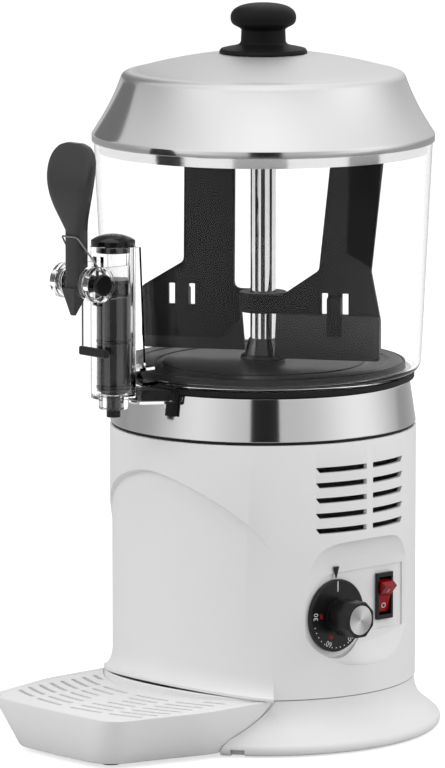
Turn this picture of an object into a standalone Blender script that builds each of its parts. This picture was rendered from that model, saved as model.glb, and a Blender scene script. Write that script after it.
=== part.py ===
"""A five litre hot chocolate dispenser: heated base, clear bowl with its tap, stirrer, lid and drip tray.

Every length is in metres. The machine's own axis is the centre line of bowl, column and housing. The tap and
the tray face -Y, and the controls face +X. Each piece is modelled about that axis, at the height it really
has, and the origin of a moving piece is then put on the axis it moves about. Values called a share have no
unit: they say how far along or how much of something a point lies.
"""

import math

import bmesh
import bpy
from mathutils import Matrix, Vector

# Clearances and overruns that every piece shares
GAP = 0.0003
OVERRUN = 0.004
SEAM = 0.0006

# How finely round pieces are divided
BIG_SIDES = 48
MIDDLE_SIDES = 24
SMALL_SIDES = 16
ARC_STEPS = 3

# Outer reach: the housing, the flared foot all round it and the tray at the front
BODY_RADIUS = 0.0980
FOOT_FLARE = 0.0165
FOOT_RADIUS = BODY_RADIUS + FOOT_FLARE
TRAY_PROJECTION = 0.0695
TRAY_REACH = FOOT_RADIUS + TRAY_PROJECTION
AXIS_Y = (TRAY_REACH - FOOT_RADIUS) / 2

# Foot ring
FOOT_TOP = 0.0333
FOOT_BOTTOM = 0.0010
FOOT_WAIST_INSET = 0.0006
FOOT_WAIST_RADIUS = BODY_RADIUS - FOOT_WAIST_INSET
FOOT_NOSE_RADIUS = 0.0042
FOOT_RING_WIDTH = 0.0140
FOOT_INNER_RADIUS = BODY_RADIUS - FOOT_RING_WIDTH
FOOT_LEDGE_WIDTH = 0.0045
FOOT_LEDGE_RADIUS = FOOT_INNER_RADIUS + FOOT_LEDGE_WIDTH
FOOT_LEDGE_HEIGHT = 0.0068
FLARE_SHARES = (0.67, 0.36, 0.22)
NOTCH_WIDTH = 0.0090
NOTCH_HEIGHT = 0.0045
NOTCH_DEPTH = 0.0070
NOTCH_ANGLE = 39.5

# Base plate and its rubber feet
PLATE_THICKNESS = 0.0015
RUBBER_FOOT_RADIUS = 0.0100
RUBBER_FOOT_RING = 0.0680
RUBBER_FOOT_ANGLES = (45, 135, 225, 315)

# Housing shell
BODY_WALL = 0.0030
BODY_TOP = 0.1960
FACE_FLATNESS = 0.0100
FACE_RADIUS = BODY_RADIUS + FACE_FLATNESS
FACE_DEPTH = 0.0050
ARCH_SPRING = 0.1230
ARCH_PEAK = 0.1740
ARCH_POWER = 1.68
ARCH_STEP = 0.0012
TOE_FLARE = 0.0058
TOE_HEIGHT = 0.0150
TOE_RISE = 0.0060
TOE_INNER_SHARES = (0.1, 0.2)
EDGE_STEP_ANGLE = 0.4
FRONT_COLUMNS = 18
SIDE_COLUMNS = 32

# Vents in the housing, two columns of slots on the control side
VENT_ROWS = 5
VENT_TOP = 0.1795
VENT_PITCH = 0.0097
VENT_HEIGHT = 0.0036
VENT_SLANT = 0.0026
VENT_LEFT = (-0.0379, -0.0010)
VENT_RIGHT = (0.0043, 0.0364)

# Control recess: a scoop cut in the round wall down to a flat panel, with a shallow pocket for the controls
PANEL_DEPTH = 0.0095
PANEL_X = BODY_RADIUS - PANEL_DEPTH
POCKET_DEPTH = 0.0010
SCOOP_LEFT = -0.0470
SCOOP_RIGHT = 0.0500
SCOOP_TOP = 0.1330
SCOOP_SHOULDER = 0.1180
SCOOP_BOTTOM = 0.0520
SCOOP_SILL = 0.0620
SCOOP_DRAFT = 0.0125
SCOOP_SOLE = 0.0130
SCOOP_STEP_SHARE = 0.25
SCOOP_STEP_SHARES = (0.34, 0.55)
SCOOP_RUN_OUT_SHARES = (0.05, 0.10)
POCKET_RIGHT = 0.0390
POCKET_TOP = 0.1125
POCKET_BOTTOM = 0.0715
POCKET_ROUND = 0.0270

# Dial of the thermostat
DIAL_Y = -0.0193
DIAL_Z = 0.0850
DIAL_RADIUS = 0.0231
DIAL_SKIRT = 0.0030
DIAL_STAND_OFF = 0.0006
DIAL_NECK_RADIUS = 0.0095
DIAL_NECK_LENGTH = 0.0040
GRIP_RADIUS = 0.0122
GRIP_STAND_OFF = 0.0239
GRIP_FACE_X = PANEL_X + GRIP_STAND_OFF
GRIP_SIDES = 8
GRIP_CHAMFER = 0.0010
INSERT_RADIUS = 0.0094
INSERT_DEPTH = 0.0012
SPINDLE_RADIUS = 0.0030
SPINDLE_LENGTH = 0.0120
THERMOSTAT_SIZE = (0.0240, 0.0320, 0.0340)
POINTER_WIDTH = 0.0046
POINTER_LENGTH = 0.0075
POINTER_THICKNESS = 0.0012

# Rocker switch
SWITCH_Y = 0.0230
SWITCH_Z = 0.0925
SWITCH_WIDTH = 0.0138
SWITCH_HEIGHT = 0.0300
SWITCH_FRAME = 0.0015
SWITCH_DEPTH = 0.0240
SWITCH_COLLAR = 0.0008
ROCKER_WIDTH = 0.0100
ROCKER_REACH = 0.0118
ROCKER_PIVOT_DEPTH = 0.0035
ROCKER_LIP = 0.0058
ROCKER_FACE_SHARES = (0.9, 0.58, 0.62, 0.80, 0.25, 0.93)

# Cable gland at the back of the foot
GLAND_RADIUS = 0.0085
GLAND_BORE = 0.0036
GLAND_NOSE_RADIUS = 0.0058
GLAND_FLANGE_RADIUS = 0.0105
GLAND_FLANGE = 0.0025
GLAND_REACH = 0.0060
GLAND_Z = 0.0500

# Deck between the housing and the heating section, and the steel ring round it
DECK_THICKNESS = 0.0015
DECK_EDGE = 0.0012
RING_RISE = 0.0300
RING_TOP = BODY_TOP + RING_RISE
RING_INSET = 0.0002
RING_FOOT_RADIUS = BODY_RADIUS - RING_INSET
RING_TAPER = 0.0042
RING_HEAD_RADIUS = RING_FOOT_RADIUS - RING_TAPER
RING_WALL = 0.0012
RING_LIP = 0.0060
RING_ROUND = 0.0015

# Heating plate, its element and spacers
HEATER_INSET = 0.0042
HEATER_RADIUS = RING_HEAD_RADIUS - HEATER_INSET
HEATER_THICKNESS = 0.0072
HEATER_CLEARANCE = 0.0036
HEATER_BOTTOM = RING_TOP + HEATER_CLEARANCE
HEATER_TOP = HEATER_BOTTOM + HEATER_THICKNESS
HEATER_EDGE = 0.0010
ELEMENT_RING = 0.0560
ELEMENT_RADIUS = 0.0040
SPACER_RADIUS = 0.0050
SPACER_RING = 0.0720
SPACER_ANGLES = (30, 150, 270)

# Bowl gasket
SEAL_PLAY = 0.0005
SEAL_OVERHANG = 0.0032
SEAL_OUTER_RADIUS = RING_HEAD_RADIUS + SEAL_OVERHANG
SEAL_THICKNESS = 0.0030
SEAL_COLLAR = 0.0011
SEAL_COLLAR_TOP = HEATER_TOP - GAP

# Column, drive shaft and bearings
COLUMN_RADIUS = 0.0082
COLUMN_WALL = 0.0010
COLUMN_RISE = 0.1352
COLUMN_TOP = HEATER_TOP + COLUMN_RISE
SHAFT_RADIUS = 0.0040
SHAFT_RISE = 0.0130
SHAFT_TOP = COLUMN_TOP + SHAFT_RISE
SHAFT_FLAT = 0.0030
SHAFT_FLAT_LENGTH = 0.0100
BUSH_LENGTH = 0.0120
HUB_FLANGE_RADIUS = 0.0165
HUB_FLANGE = 0.0032
HUB_CONE_RADIUS = 0.0124
HUB_CONE_HEIGHT = 0.0104
HUB_RIM = 0.0012

# Gear motor
GEARBOX_SIZE = (0.0640, 0.0460, 0.0240)
GEARBOX_CORNER = 0.0060
GEARBOX_DROP = 0.0030
MOTOR_RADIUS = 0.0240
MOTOR_LENGTH = 0.0420
MOTOR_CAP = 0.0060
MOTOR_CAP_RADIUS = 0.0120
MOUNT_PAD_RADIUS = 0.0050

# Stirrer: a collar on the column, two arms with blades, a bridge over the column's end
STIRRER_TURN = 35.0
STIRRER_OFFSET = 0.0146
STIRRER_THICKNESS = 0.0030
COLLAR_RADIUS = 0.0150
COLLAR_RISE = 0.0312
COLLAR_BOTTOM = HEATER_TOP + COLLAR_RISE
COLLAR_LENGTH = 0.0125
COLLAR_TOP = COLLAR_BOTTOM + COLLAR_LENGTH
COLLAR_CLEARANCE = 0.0005
BRIDGE_DROP = 0.0040
BRIDGE_BOTTOM = COLUMN_TOP - BRIDGE_DROP
BRIDGE_WIDTH = 0.0155
BRIDGE_TOP = BRIDGE_BOTTOM + BRIDGE_WIDTH
HEAD_COVER = 0.0030
HEAD_TOP = SHAFT_TOP + HEAD_COVER
HEAD_ROUND = 0.0030
BLADE_WAIST_RISE = 0.0165
BLADE_WAIST = COLLAR_TOP + BLADE_WAIST_RISE
BLADE_CLEARANCE = 0.0112
BLADE_BOTTOM = HEATER_TOP + BLADE_CLEARANCE
BLADE_HEEL = (0.0175, 0.0300)
BLADE_HEEL_RISE = 0.0120
BLADE_HEEL_TOP = BLADE_BOTTOM + BLADE_HEEL_RISE
OUTER_ARM = (0.0394, 0.0730)
OUTER_ARM_LEAN = 0.0075
OUTER_ARM_FOOT = BLADE_WAIST
OUTER_TIP_INSET = 0.0104
OUTER_TIP = HEATER_RADIUS - OUTER_TIP_INSET
OUTER_SHOULDER_DROP = 0.0020
OUTER_TIP_SHOULDER = COLLAR_BOTTOM - OUTER_SHOULDER_DROP
INNER_ARM = (0.0218, 0.0549)
INNER_ARM_LEAN = -0.0005
INNER_ARM_FOOT = COLLAR_TOP - GAP
INNER_TIP_INSET = 0.0064
INNER_TIP = HEATER_RADIUS - INNER_TIP_INSET
INNER_SHOULDER_DROP = 0.0005
INNER_TIP_SHOULDER = COLLAR_TOP - INNER_SHOULDER_DROP
OUTLINE_ROUND = 0.0040
CLIP_SLOT_WIDTH = 0.0042
CLIP_SLOT_LIFT = 0.0010
CLIP_SLOT_BOTTOM = COLLAR_BOTTOM + CLIP_SLOT_LIFT
CLIP_SLOT_OVER = 0.0020
CLIP_SLOT_TOP = COLLAR_TOP + CLIP_SLOT_OVER
CLIP_TONGUE_WIDTH = 0.0090
CLIP_TONGUE_DROP = 0.0130
CLIP_TONGUE_TIP = COLLAR_BOTTOM - CLIP_TONGUE_DROP
CLIP_TONGUE_THICKNESS = 0.0016
OUTER_CLIP_X = 0.0498
INNER_CLIP_X = 0.0562
SCRAPER_THICKNESS = 0.0018
SCRAPER_CLEARANCE = 0.0032
SCRAPER_BOTTOM = HEATER_TOP + SCRAPER_CLEARANCE
SCRAPER_OVER = 0.0006
SCRAPER_TOP = COLLAR_BOTTOM + SCRAPER_OVER
SCRAPER_INNER = 0.0150

# Bowl
BOWL_OVER_COLUMN = 0.0092
BOWL_TOP = COLUMN_TOP + BOWL_OVER_COLUMN
BOWL_TAPER = 0.0070
BOWL_OVER_SEAL = 0.0042
BOWL_FOOT_RADIUS = SEAL_OUTER_RADIUS + BOWL_OVER_SEAL
BOWL_TOP_RADIUS = BOWL_FOOT_RADIUS + BOWL_TAPER
BOWL_FOOT = RING_TOP + SEAL_THICKNESS + 2 * GAP
BOWL_CORNER = 0.0080
BOWL_WALL = 0.0026

# Tap body, moulded on the bowl
TAP_STAND_OFF = 0.0260
TAP_Y = -(BOWL_FOOT_RADIUS + TAP_STAND_OFF)
TAP_RADIUS = 0.0142
TAP_BORE = 0.0110
TAP_DROP = 0.0046
TAP_BOTTOM = BOWL_FOOT - TAP_DROP
TAP_LENGTH = 0.0960
TAP_TOP = TAP_BOTTOM + TAP_LENGTH
TAP_FLOOR = 0.0025
TAP_COLLAR_RADIUS = 0.0093
TAP_COLLAR_LENGTH = 0.0070
TAP_COLLAR_BOTTOM = TAP_BOTTOM - TAP_COLLAR_LENGTH
WEB_THICKNESS = 0.0024
WEB_DROP = 0.0030
WEB_TOP = TAP_TOP - WEB_DROP
DUCT_WIDTH = 0.0150
DUCT_WALL = 0.0020
DUCT_LIFT = 0.0036
DUCT_BOTTOM = BOWL_FOOT + DUCT_LIFT
DUCT_HEIGHT = 0.0076
TROUGH_HALF_WIDTHS = (0.0120, 0.0240)
TROUGH_REACH = 0.0150
TROUGH_FRONT = BOWL_FOOT_RADIUS + TROUGH_REACH
TROUGH_CLEARANCE = 0.0004
TROUGH_BACK = SEAL_OUTER_RADIUS + TROUGH_CLEARANCE
TROUGH_DROP = 0.0091
TROUGH_BOTTOM = BOWL_FOOT - TROUGH_DROP
TROUGH_WALL = 0.0015
TROUGH_ROUND = 0.0045

# Lever pivot: two ears on arms beside the tube
PIVOT_REACH = 0.0256
PIVOT_Y = TAP_Y - PIVOT_REACH
PIVOT_DROP = 0.0210
PIVOT_Z = TAP_TOP - PIVOT_DROP
EAR_RADIUS = 0.0112
EAR_INNER_X = 0.0085
EAR_OUTER_X = 0.0182
EAR_RECESS_RADIUS = 0.0099
EAR_RECESS_X = 0.0130
EAR_RIM_ANGLES = (84, 306)
EAR_ARM_X = 0.0160
EAR_ARM_HEIGHT = 0.0200
TAP_SLOT_WIDTH = 0.0074
TAP_SLOT_BELOW = 0.0160
TAP_SLOT_BOTTOM = PIVOT_Z - TAP_SLOT_BELOW
TAP_SLOT_ABOVE = 0.0150
TAP_SLOT_TOP = PIVOT_Z + TAP_SLOT_ABOVE
PIN_RADIUS = 0.0028
PIN_HEAD_RADIUS = 0.0069
PIN_HEAD = 0.0026
PIN_CLEARANCE = 0.0002

# Lever
LEVER_HUB_RADIUS = 0.0054
LEVER_HUB_HALF = 0.0080
LEVER_NECK_HALF = 0.0063
LEVER_NECK_FRONT = 0.0092
PADDLE_RISE = 0.0330
PADDLE_FOOT = PIVOT_Z + PADDLE_RISE
PADDLE_LENGTH = 0.0546
PADDLE_TOP = PADDLE_FOOT + PADDLE_LENGTH
PADDLE_HALF_WIDTH = 0.0189
PADDLE_BELLY = 0.0050
PADDLE_THICKNESS = 0.0085
PADDLE_TIP_THICKNESS = 0.0040
PADDLE_WIDTH_SHARES = (0.345, 0.50, 0.68, 0.86, 0.98, 1.0, 0.94, 0.80, 0.58, 0.34)
PADDLE_HEIGHT_SHARES = (0.0, 0.13, 0.26, 0.42, 0.60, 0.72, 0.84, 0.92, 0.975, 1.0)
PADDLE_LEAN = 0.0031
PADDLE_SIDE_SHARES = (0.45, 0.86, 1.0)
PADDLE_DEPTH_SHARES = (0.0, 0.10, 0.38, 0.72)
PADDLE_BACK_SHARE = 0.80
TONGUE_LENGTH = 0.0200
TONGUE_TIP = PIVOT_Z - TONGUE_LENGTH
TONGUE_TOP_FRONT = 0.0118
TONGUE_TIP_HALF = 0.0016
TONGUE_TIP_FRONT = 0.0082
TONGUE_TIP_BACK = 0.0066
NOSE_REACH = 0.0215
NOSE_Y = PIVOT_Y + NOSE_REACH
NOSE_DROP = 0.0050
NOSE_Z = PIVOT_Z - NOSE_DROP
NOSE_RADIUS = 0.0025
NOSE_HALF = 0.0030
NOSE_ARM_SHARE = 0.6

# Piston of the tap and its rings
PISTON_RADIUS = 0.0104
PISTON_LIFT = 0.0043
PISTON_BOTTOM = TAP_BOTTOM + PISTON_LIFT
PISTON_SHOULDER_DROP = 0.0095
PISTON_SHOULDER = PIVOT_Z - PISTON_SHOULDER_DROP
PISTON_TOP = PIVOT_Z
PISTON_HOOK_REACH = 0.0075
PISTON_HOOK_FRONT = TAP_Y - PISTON_HOOK_REACH
PISTON_POCKET_REACH = 0.0022
PISTON_POCKET_BACK = TAP_Y + PISTON_POCKET_REACH
POCKET_CLEARANCE = 0.0005
PISTON_RING_LIFTS = (0.0031, 0.0321)
PISTON_RING_HEIGHTS = tuple(PISTON_BOTTOM + lift for lift in PISTON_RING_LIFTS)
PISTON_RING_SECTION = 0.0010
PISTON_GROOVE_DEPTH = 0.0017
PISTON_GROOVE = 0.0026
PISTON_CHAMFER = 0.0008

# Tap cap and nozzle
CAP_RADIUS = 0.0139
CAP_HEIGHT = 0.0074
CAP_TOP = TAP_TOP + CAP_HEIGHT
CAP_BAND = 0.0030
CAP_CROWN_RADIUS = 0.0060
CAP_PLUG = 0.0045
CAP_PLUG_WALL = 0.0018
NOZZLE_RADIUS = 0.0044
NOZZLE_BORE = 0.0031
NOZZLE_REACH = 0.0053
NOZZLE_BOTTOM = TAP_COLLAR_BOTTOM - NOZZLE_REACH
NOZZLE_FLANGE_RADIUS = 0.0078
NOZZLE_FLANGE = 0.0009

# Return spring of the lever, one bent wire, and the bar that its legs press on
WIRE_RADIUS = 0.0006
COIL_RADIUS = 0.0089
COIL_X = 0.0100
COIL_PITCH = 0.0017
COIL_STEPS = 24
BAIL_X = 0.0074
BAIL_RISE = 0.0294
BAIL_Z = PIVOT_Z + BAIL_RISE
BAR_HALF = 0.0130
BAR_DROP = 0.0420
BAR_TOP = PIVOT_Z - BAR_DROP
BAR_HEIGHT = 0.0056
BAR_THICKNESS = 0.0034
BAR_ROUND = 0.0008

# Pull tab of the seal
TAB_WIDTH = 0.0080
TAB_DROP = 0.0140
TAB_BOTTOM = RING_TOP - TAB_DROP
TAB_THICKNESS = 0.0018
TAB_CLEARANCE = 0.0006
TAB_ANGLE = 11.0

# Lid
LID_OVERHANG = 0.0012
LID_RADIUS = BOWL_TOP_RADIUS + LID_OVERHANG
LID_OVERLAP = 0.0036
LID_BOTTOM = BOWL_TOP - LID_OVERLAP
LID_BAND = 0.0048
LID_SHOULDER_INSET = 0.0184
LID_SHOULDER_RADIUS = LID_RADIUS - LID_SHOULDER_INSET
LID_SHOULDER_RISE = 0.0363
LID_SHOULDER_Z = BOWL_TOP + LID_SHOULDER_RISE
LID_SHOULDER_ROUND = 0.0075
LID_WALL = 0.0008
LID_CROWN_RADIUS = 0.0290
LID_DOME_RISE = 0.0155
LID_CROWN_Z = LID_SHOULDER_Z + LID_DOME_RISE
LID_NECK_INSET = 0.0059
LID_NECK_RADIUS = LID_RADIUS - LID_NECK_INSET
LID_NECK_RISE = 0.0064
LID_NECK_Z = BOWL_TOP + LID_NECK_RISE
LID_FLANGE_INSET = 0.0034
LID_FLANGE_RADIUS = BOWL_TOP_RADIUS - LID_FLANGE_INSET
LID_FLANGE_DEPTH = 0.0100
LID_FLANGE_BOTTOM = BOWL_TOP - LID_FLANGE_DEPTH
LID_SKIRT_SHARES = (0.30, 0.28, 0.18, 0.72)
LID_ROLL_SHARES = (0.55, 0.6, 0.8)
LID_SHOULDER_SHARES = (0.42, 0.45, 0.62)
LID_SLOPED_WALL_SHARES = (0.9, 0.45, 1.1)
DOME_SAG = 0.0012

# Lid knob
KNOB_HEIGHT = 0.0320
KNOB_TOP = LID_CROWN_Z + KNOB_HEIGHT
KNOB_FLANGE_RADIUS = 0.0280
KNOB_FLANGE_RIM = 0.0018
KNOB_FLANGE_RISE = 0.0072
KNOB_NECK_RADIUS = 0.0133
KNOB_NECK_RISE = 0.0120
KNOB_NECK_Z = LID_CROWN_Z + KNOB_NECK_RISE
KNOB_CAP_RADIUS = 0.0209
KNOB_CAP_RISE = 0.0227
KNOB_CAP_Z = LID_CROWN_Z + KNOB_CAP_RISE
KNOB_SHARES = (0.62, 0.72, 0.55, 0.35, 0.45)
KNOB_SCREW_RADIUS = 0.0022
KNOB_SCREW_HEAD = 0.0055
KNOB_SCREW_HEAD_HEIGHT = 0.0022
KNOB_SCREW_DEPTH = 0.0120

# Drip tray and its grille
TRAY_TOP = 0.0340
TRAY_BOTTOM = 0.0030
TRAY_STAND_OFF = 0.0005
TRAY_BACK_RADIUS = BODY_RADIUS + TRAY_STAND_OFF
TRAY_WALL = 0.0022
TRAY_RIM = 0.0038
TRAY_LEDGE = 0.0020
TRAY_TOP_HALVES = (0.0738, 0.0748, 0.0690, 0.0600)
TRAY_BOTTOM_HALVES = (0.0615, 0.0635, 0.0560, 0.0450)
TRAY_TOP_INSETS = (0.0660, 0.0290, 0.0015)
TRAY_BOTTOM_INSETS = (0.0830, 0.0440, 0.0100)
TRAY_TOP_BOW = 0.0015
TRAY_TOP_CORNER = 0.0140
TRAY_BOTTOM_CORNER = 0.0120
TRAY_CLEARANCE = 0.0008
TRAY_LIP_RISE = 0.0048
TRAY_LIP_INSET = 0.0004
TRAY_LIP_THICKNESS = 0.0022
TRAY_PAD_RADIUS = 0.0060
TRAY_PAD_PLACES = ((-0.0300, -0.1560), (0.0300, -0.1560))
GRILLE_THICKNESS = 0.0030
GRILLE_DROP = 0.0004
SLOT_COLUMNS = (-0.0495, -0.0175, 0.0175, 0.0495)
SLOT_LENGTH = 0.0262
SLOT_WIDTH = 0.0030
SLOT_FIRST_INSET = 0.0720
SLOT_PITCH = 0.0092
SLOT_ROWS = 7
SLOT_ARC_RADIUS = 0.1500
BOSS_INSET = 0.0530
BOSS_RADIUS = 0.0100
SLOT_MARGIN = 0.0025


def clear_scene():
    """Remove everything that the new file came with."""
    for old in list(bpy.data.objects):
        bpy.data.objects.remove(old, do_unlink=True)


def finish(piece, colour, roughness, metallic=0, alpha=1):
    """Give a piece its own Principled material."""
    material = bpy.data.materials.new(piece.name)
    material.use_nodes = True
    shader = material.node_tree.nodes["Principled BSDF"]
    shader.inputs["Base Color"].default_value = (*colour, 1.0)
    shader.inputs["Roughness"].default_value = roughness
    shader.inputs["Metallic"].default_value = metallic
    shader.inputs["Alpha"].default_value = alpha
    material.diffuse_color = (*colour, alpha)
    piece.data.materials.clear()
    piece.data.materials.append(material)


WHITE = dict(colour=(0.80, 0.80, 0.80), roughness=0.45)
BLACK = dict(colour=(0.020, 0.020, 0.022), roughness=0.45)
DARK = dict(colour=(0.030, 0.030, 0.032), roughness=0.55)
RUBBER = dict(colour=(0.015, 0.015, 0.015), roughness=0.80)
STEEL = dict(colour=(0.62, 0.62, 0.63), roughness=0.22, metallic=1.0)
CLEAR = dict(colour=(0.90, 0.92, 0.93), roughness=0.06, alpha=0.25)
BRASS = dict(colour=(0.60, 0.45, 0.20), roughness=0.40, metallic=1.0)


def object_from_bmesh(name, shape):
    """Turn a bmesh into a linked object whose faces point outwards."""
    bmesh.ops.recalc_face_normals(shape, faces=shape.faces)
    mesh = bpy.data.meshes.new(name)
    shape.to_mesh(mesh)
    shape.free()
    piece = bpy.data.objects.new(name, mesh)
    bpy.context.scene.collection.objects.link(piece)
    return piece


def lathe(name, profile, sides, centre=(0, 0), axis="Z"):
    """Turn a closed outline of (radius, height) points about an upright axis, or about one along X."""
    shape = bmesh.new()
    corners = [shape.verts.new((radius, 0, height)) for radius, height in profile]
    on_axis = [abs(radius) < WIRE_RADIUS / BIG_SIDES for radius, height in profile]
    for here in range(len(corners)):
        ahead = (here + 1) % len(corners)
        if not (on_axis[here] and on_axis[ahead]):
            shape.edges.new((corners[here], corners[ahead]))
    bmesh.ops.spin(
        shape, geom=list(shape.verts) + list(shape.edges), axis=(0, 0, 1), cent=(0, 0, 0),
        angle=2 * math.pi, steps=sides, use_merge=True, use_duplicate=False)
    bmesh.ops.remove_doubles(shape, verts=shape.verts, dist=GAP / BIG_SIDES)
    tips = [spot for spot in shape.verts if spot.co.xy.length < GAP / BIG_SIDES]
    flat = [tip for tip in tips if all(abs(edge.other_vert(tip).co.z - tip.co.z) < GAP / BIG_SIDES
                                       for edge in tip.link_edges)]
    bmesh.ops.dissolve_verts(shape, verts=flat)
    if axis == "X":
        bmesh.ops.rotate(shape, verts=shape.verts, matrix=Matrix.Rotation(math.pi / 2, 3, "Y"))
    bmesh.ops.translate(shape, verts=shape.verts, vec=(centre[0], centre[1], 0))
    return object_from_bmesh(name, shape)


def prism(name, outline, low, high, along="Z"):
    """Extrude an outline. Its two coordinates are XY, XZ or YZ, whichever leave the given direction free."""
    placed = {
        "Z": lambda a, b: (a, b, low),
        "Y": lambda a, b: (a, low, b),
        "X": lambda a, b: (low, a, b)}[along]
    step = {"Z": (0, 0, high - low), "Y": (0, high - low, 0), "X": (high - low, 0, 0)}[along]
    shape = bmesh.new()
    face = shape.faces.new([shape.verts.new(placed(a, b)) for a, b in outline])
    grown = bmesh.ops.extrude_face_region(shape, geom=[face])
    moved = [item for item in grown["geom"] if isinstance(item, bmesh.types.BMVert)]
    bmesh.ops.translate(shape, verts=moved, vec=step)
    return object_from_bmesh(name, shape)


def loft(name, loops):
    """Join closed loops of the same number of points into one capped skin."""
    shape = bmesh.new()
    rings = [[shape.verts.new(point) for point in loop] for loop in loops]
    count = len(rings[0])
    for lower, upper in zip(rings, rings[1:]):
        for here in range(count):
            ahead = (here + 1) % count
            shape.faces.new((lower[here], lower[ahead], upper[ahead], upper[here]))
    shape.faces.new(rings[0][::-1])
    shape.faces.new(rings[-1])
    return object_from_bmesh(name, shape)


def block(name, low, high):
    """A plain box from its two far corners."""
    outline = [(low[0], low[1]), (high[0], low[1]), (high[0], high[1]), (low[0], high[1])]
    return prism(name, outline, low[2], high[2])


def rod(name, radius, low, high, sides=SMALL_SIDES, centre=(0, 0), axis="Z"):
    """A plain round bar."""
    return lathe(name, [(0, high), (radius, high), (radius, low), (0, low)], sides, centre, axis)


def combine(piece, other, operation):
    """Apply an exact Boolean of another piece, which is used up."""
    change = piece.modifiers.new(operation, "BOOLEAN")
    change.operation = operation
    change.solver = "EXACT"
    change.object = other
    bpy.context.view_layer.update()
    result = bpy.data.meshes.new_from_object(piece.evaluated_get(bpy.context.evaluated_depsgraph_get()))
    piece.modifiers.clear()
    old = piece.data
    piece.data = result
    bpy.data.meshes.remove(old)
    bpy.data.objects.remove(other, do_unlink=True)
    return piece


def cut(piece, *cutters):
    """Take each cutter away from the piece."""
    for cutter in cutters:
        combine(piece, cutter, "DIFFERENCE")
    return piece


def unite(piece, *others):
    """Fuse each further solid with the piece."""
    for other in others:
        combine(piece, other, "UNION")
    return piece


def moved(piece, offset):
    """Shift a piece's mesh."""
    piece.data.transform(Matrix.Translation(offset))
    return piece


def turned(piece, angle, axis="Z"):
    """Turn a piece's mesh about the machine's own axis."""
    piece.data.transform(Matrix.Rotation(math.radians(angle), 4, axis))
    return piece


def rounded(corners, steps=ARC_STEPS):
    """Round the corners of an outline. A corner is (a, b) or, with its own radius, (a, b, radius)."""
    outline = []
    count = len(corners)
    for here, corner in enumerate(corners):
        point = Vector(corner[:2])
        radius = corner[2] if len(corner) > 2 else 0.0
        if radius <= 0.0:
            outline.append(tuple(point))
            continue
        before = (Vector(corners[here - 1][:2]) - point).normalized()
        after = (Vector(corners[(here + 1) % count][:2]) - point).normalized()
        half = before.angle(after) / 2
        reach = radius / math.tan(half)
        middle = point + (before + after).normalized() * (radius / math.sin(half))
        start = point + before * reach - middle
        end = point + after * reach - middle
        sweep = start.angle_signed(end)
        for step in range(steps + 1):
            spin = Matrix.Rotation(-sweep * step / steps, 2)
            outline.append(tuple(middle + spin @ start))
    return outline


def bezier(start, first, second, end, steps):
    """Points along a cubic curve, both ends included."""
    points = []
    for step in range(steps + 1):
        t = step / steps
        weights = ((1 - t) ** 3, 3 * t * (1 - t) ** 2, 3 * t * t * (1 - t), t ** 3)
        points.append(tuple(
            sum(weight * point[axis] for weight, point in zip(weights, (start, first, second, end)))
            for axis in range(2)))
    return points


def arc(centre, radius, start, end, steps):
    """Points on a circle from one angle to another, in degrees."""
    angles = [math.radians(start + (end - start) * step / steps) for step in range(steps + 1)]
    return [(centre[0] + radius * math.cos(angle), centre[1] + radius * math.sin(angle)) for angle in angles]


def mix(low, high, share):
    """The value a share of the way from low to high."""
    return low + (high - low) * share


def polar(radius, angle):
    """X and Y of a point seen from the machine's axis, with the angle counted from the front towards +X."""
    spin = math.radians(angle)
    return radius * math.sin(spin), -radius * math.cos(spin)


def shade(piece, angle=34.0):
    """Smooth shading with crisp edges where the surface really turns."""
    piece.data.shade_smooth()
    piece.data.set_sharp_from_angle(angle=math.radians(angle))


def place(piece, material, parent, origin=(0, 0, 0), angle=34.0):
    """Put the piece's origin where it turns or slides, hang it on its parent and give it its finish."""
    piece.data.transform(Matrix.Translation(-Vector(origin)))
    piece.location = origin
    piece.parent = parent
    finish(piece, **material)
    shade(piece, angle)
    return piece


def empty(name, location, parent=None):
    """An axis that pieces hang on."""
    guide = bpy.data.objects.new(name, None)
    guide.location = location
    guide.parent = parent
    bpy.context.scene.collection.objects.link(guide)
    return guide


# The lower edge of the housing's front and the lip of the tray follow one arch
FACE_SHIFT = FACE_RADIUS - (BODY_RADIUS - FACE_DEPTH)
BODY_BOTTOM = FOOT_TOP + SEAM


def face_reach(angle, radius):
    """Distance from the machine's axis to a circle whose centre lies FACE_SHIFT behind it."""
    side = FACE_SHIFT * math.sin(angle)
    return math.sqrt(radius * radius - side * side) - FACE_SHIFT * math.cos(angle)


def arch_angle():
    """Angle from the front at which the flatter face meets the round wall."""
    cosine = (FACE_RADIUS ** 2 - BODY_RADIUS ** 2 - FACE_SHIFT ** 2) / (2 * BODY_RADIUS * FACE_SHIFT)
    return math.acos(cosine)


ARCH_HALF_WIDTH = BODY_RADIUS * math.sin(arch_angle())


def arch_height(side):
    """Height of the front recess's edge at a distance from the middle, a rounded arch."""
    share = min(1, abs(side) / ARCH_HALF_WIDTH)
    return ARCH_SPRING + (ARCH_PEAK - ARCH_SPRING) * (1 - share ** ARCH_POWER) ** (1 / ARCH_POWER)


def toe_height(side):
    """Height of the housing's lower front edge, highest in the middle."""
    share = min(1, abs(side) / ARCH_HALF_WIDTH)
    return BODY_BOTTOM + TOE_RISE * (1 - share * share)


def housing_columns():
    """Angles of the shell's upright lines, with a close pair where the front recess ends."""
    edge = arch_angle()
    step = math.radians(EDGE_STEP_ANGLE)
    front = [-edge + 2 * edge * index / FRONT_COLUMNS for index in range(FRONT_COLUMNS + 1)]
    start = edge + step
    rest = [start + (2 * math.pi - 2 * start) * index / SIDE_COLUMNS for index in range(SIDE_COLUMNS + 1)]
    return [(angle, True) for angle in front] + [(angle, False) for angle in rest]


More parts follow.
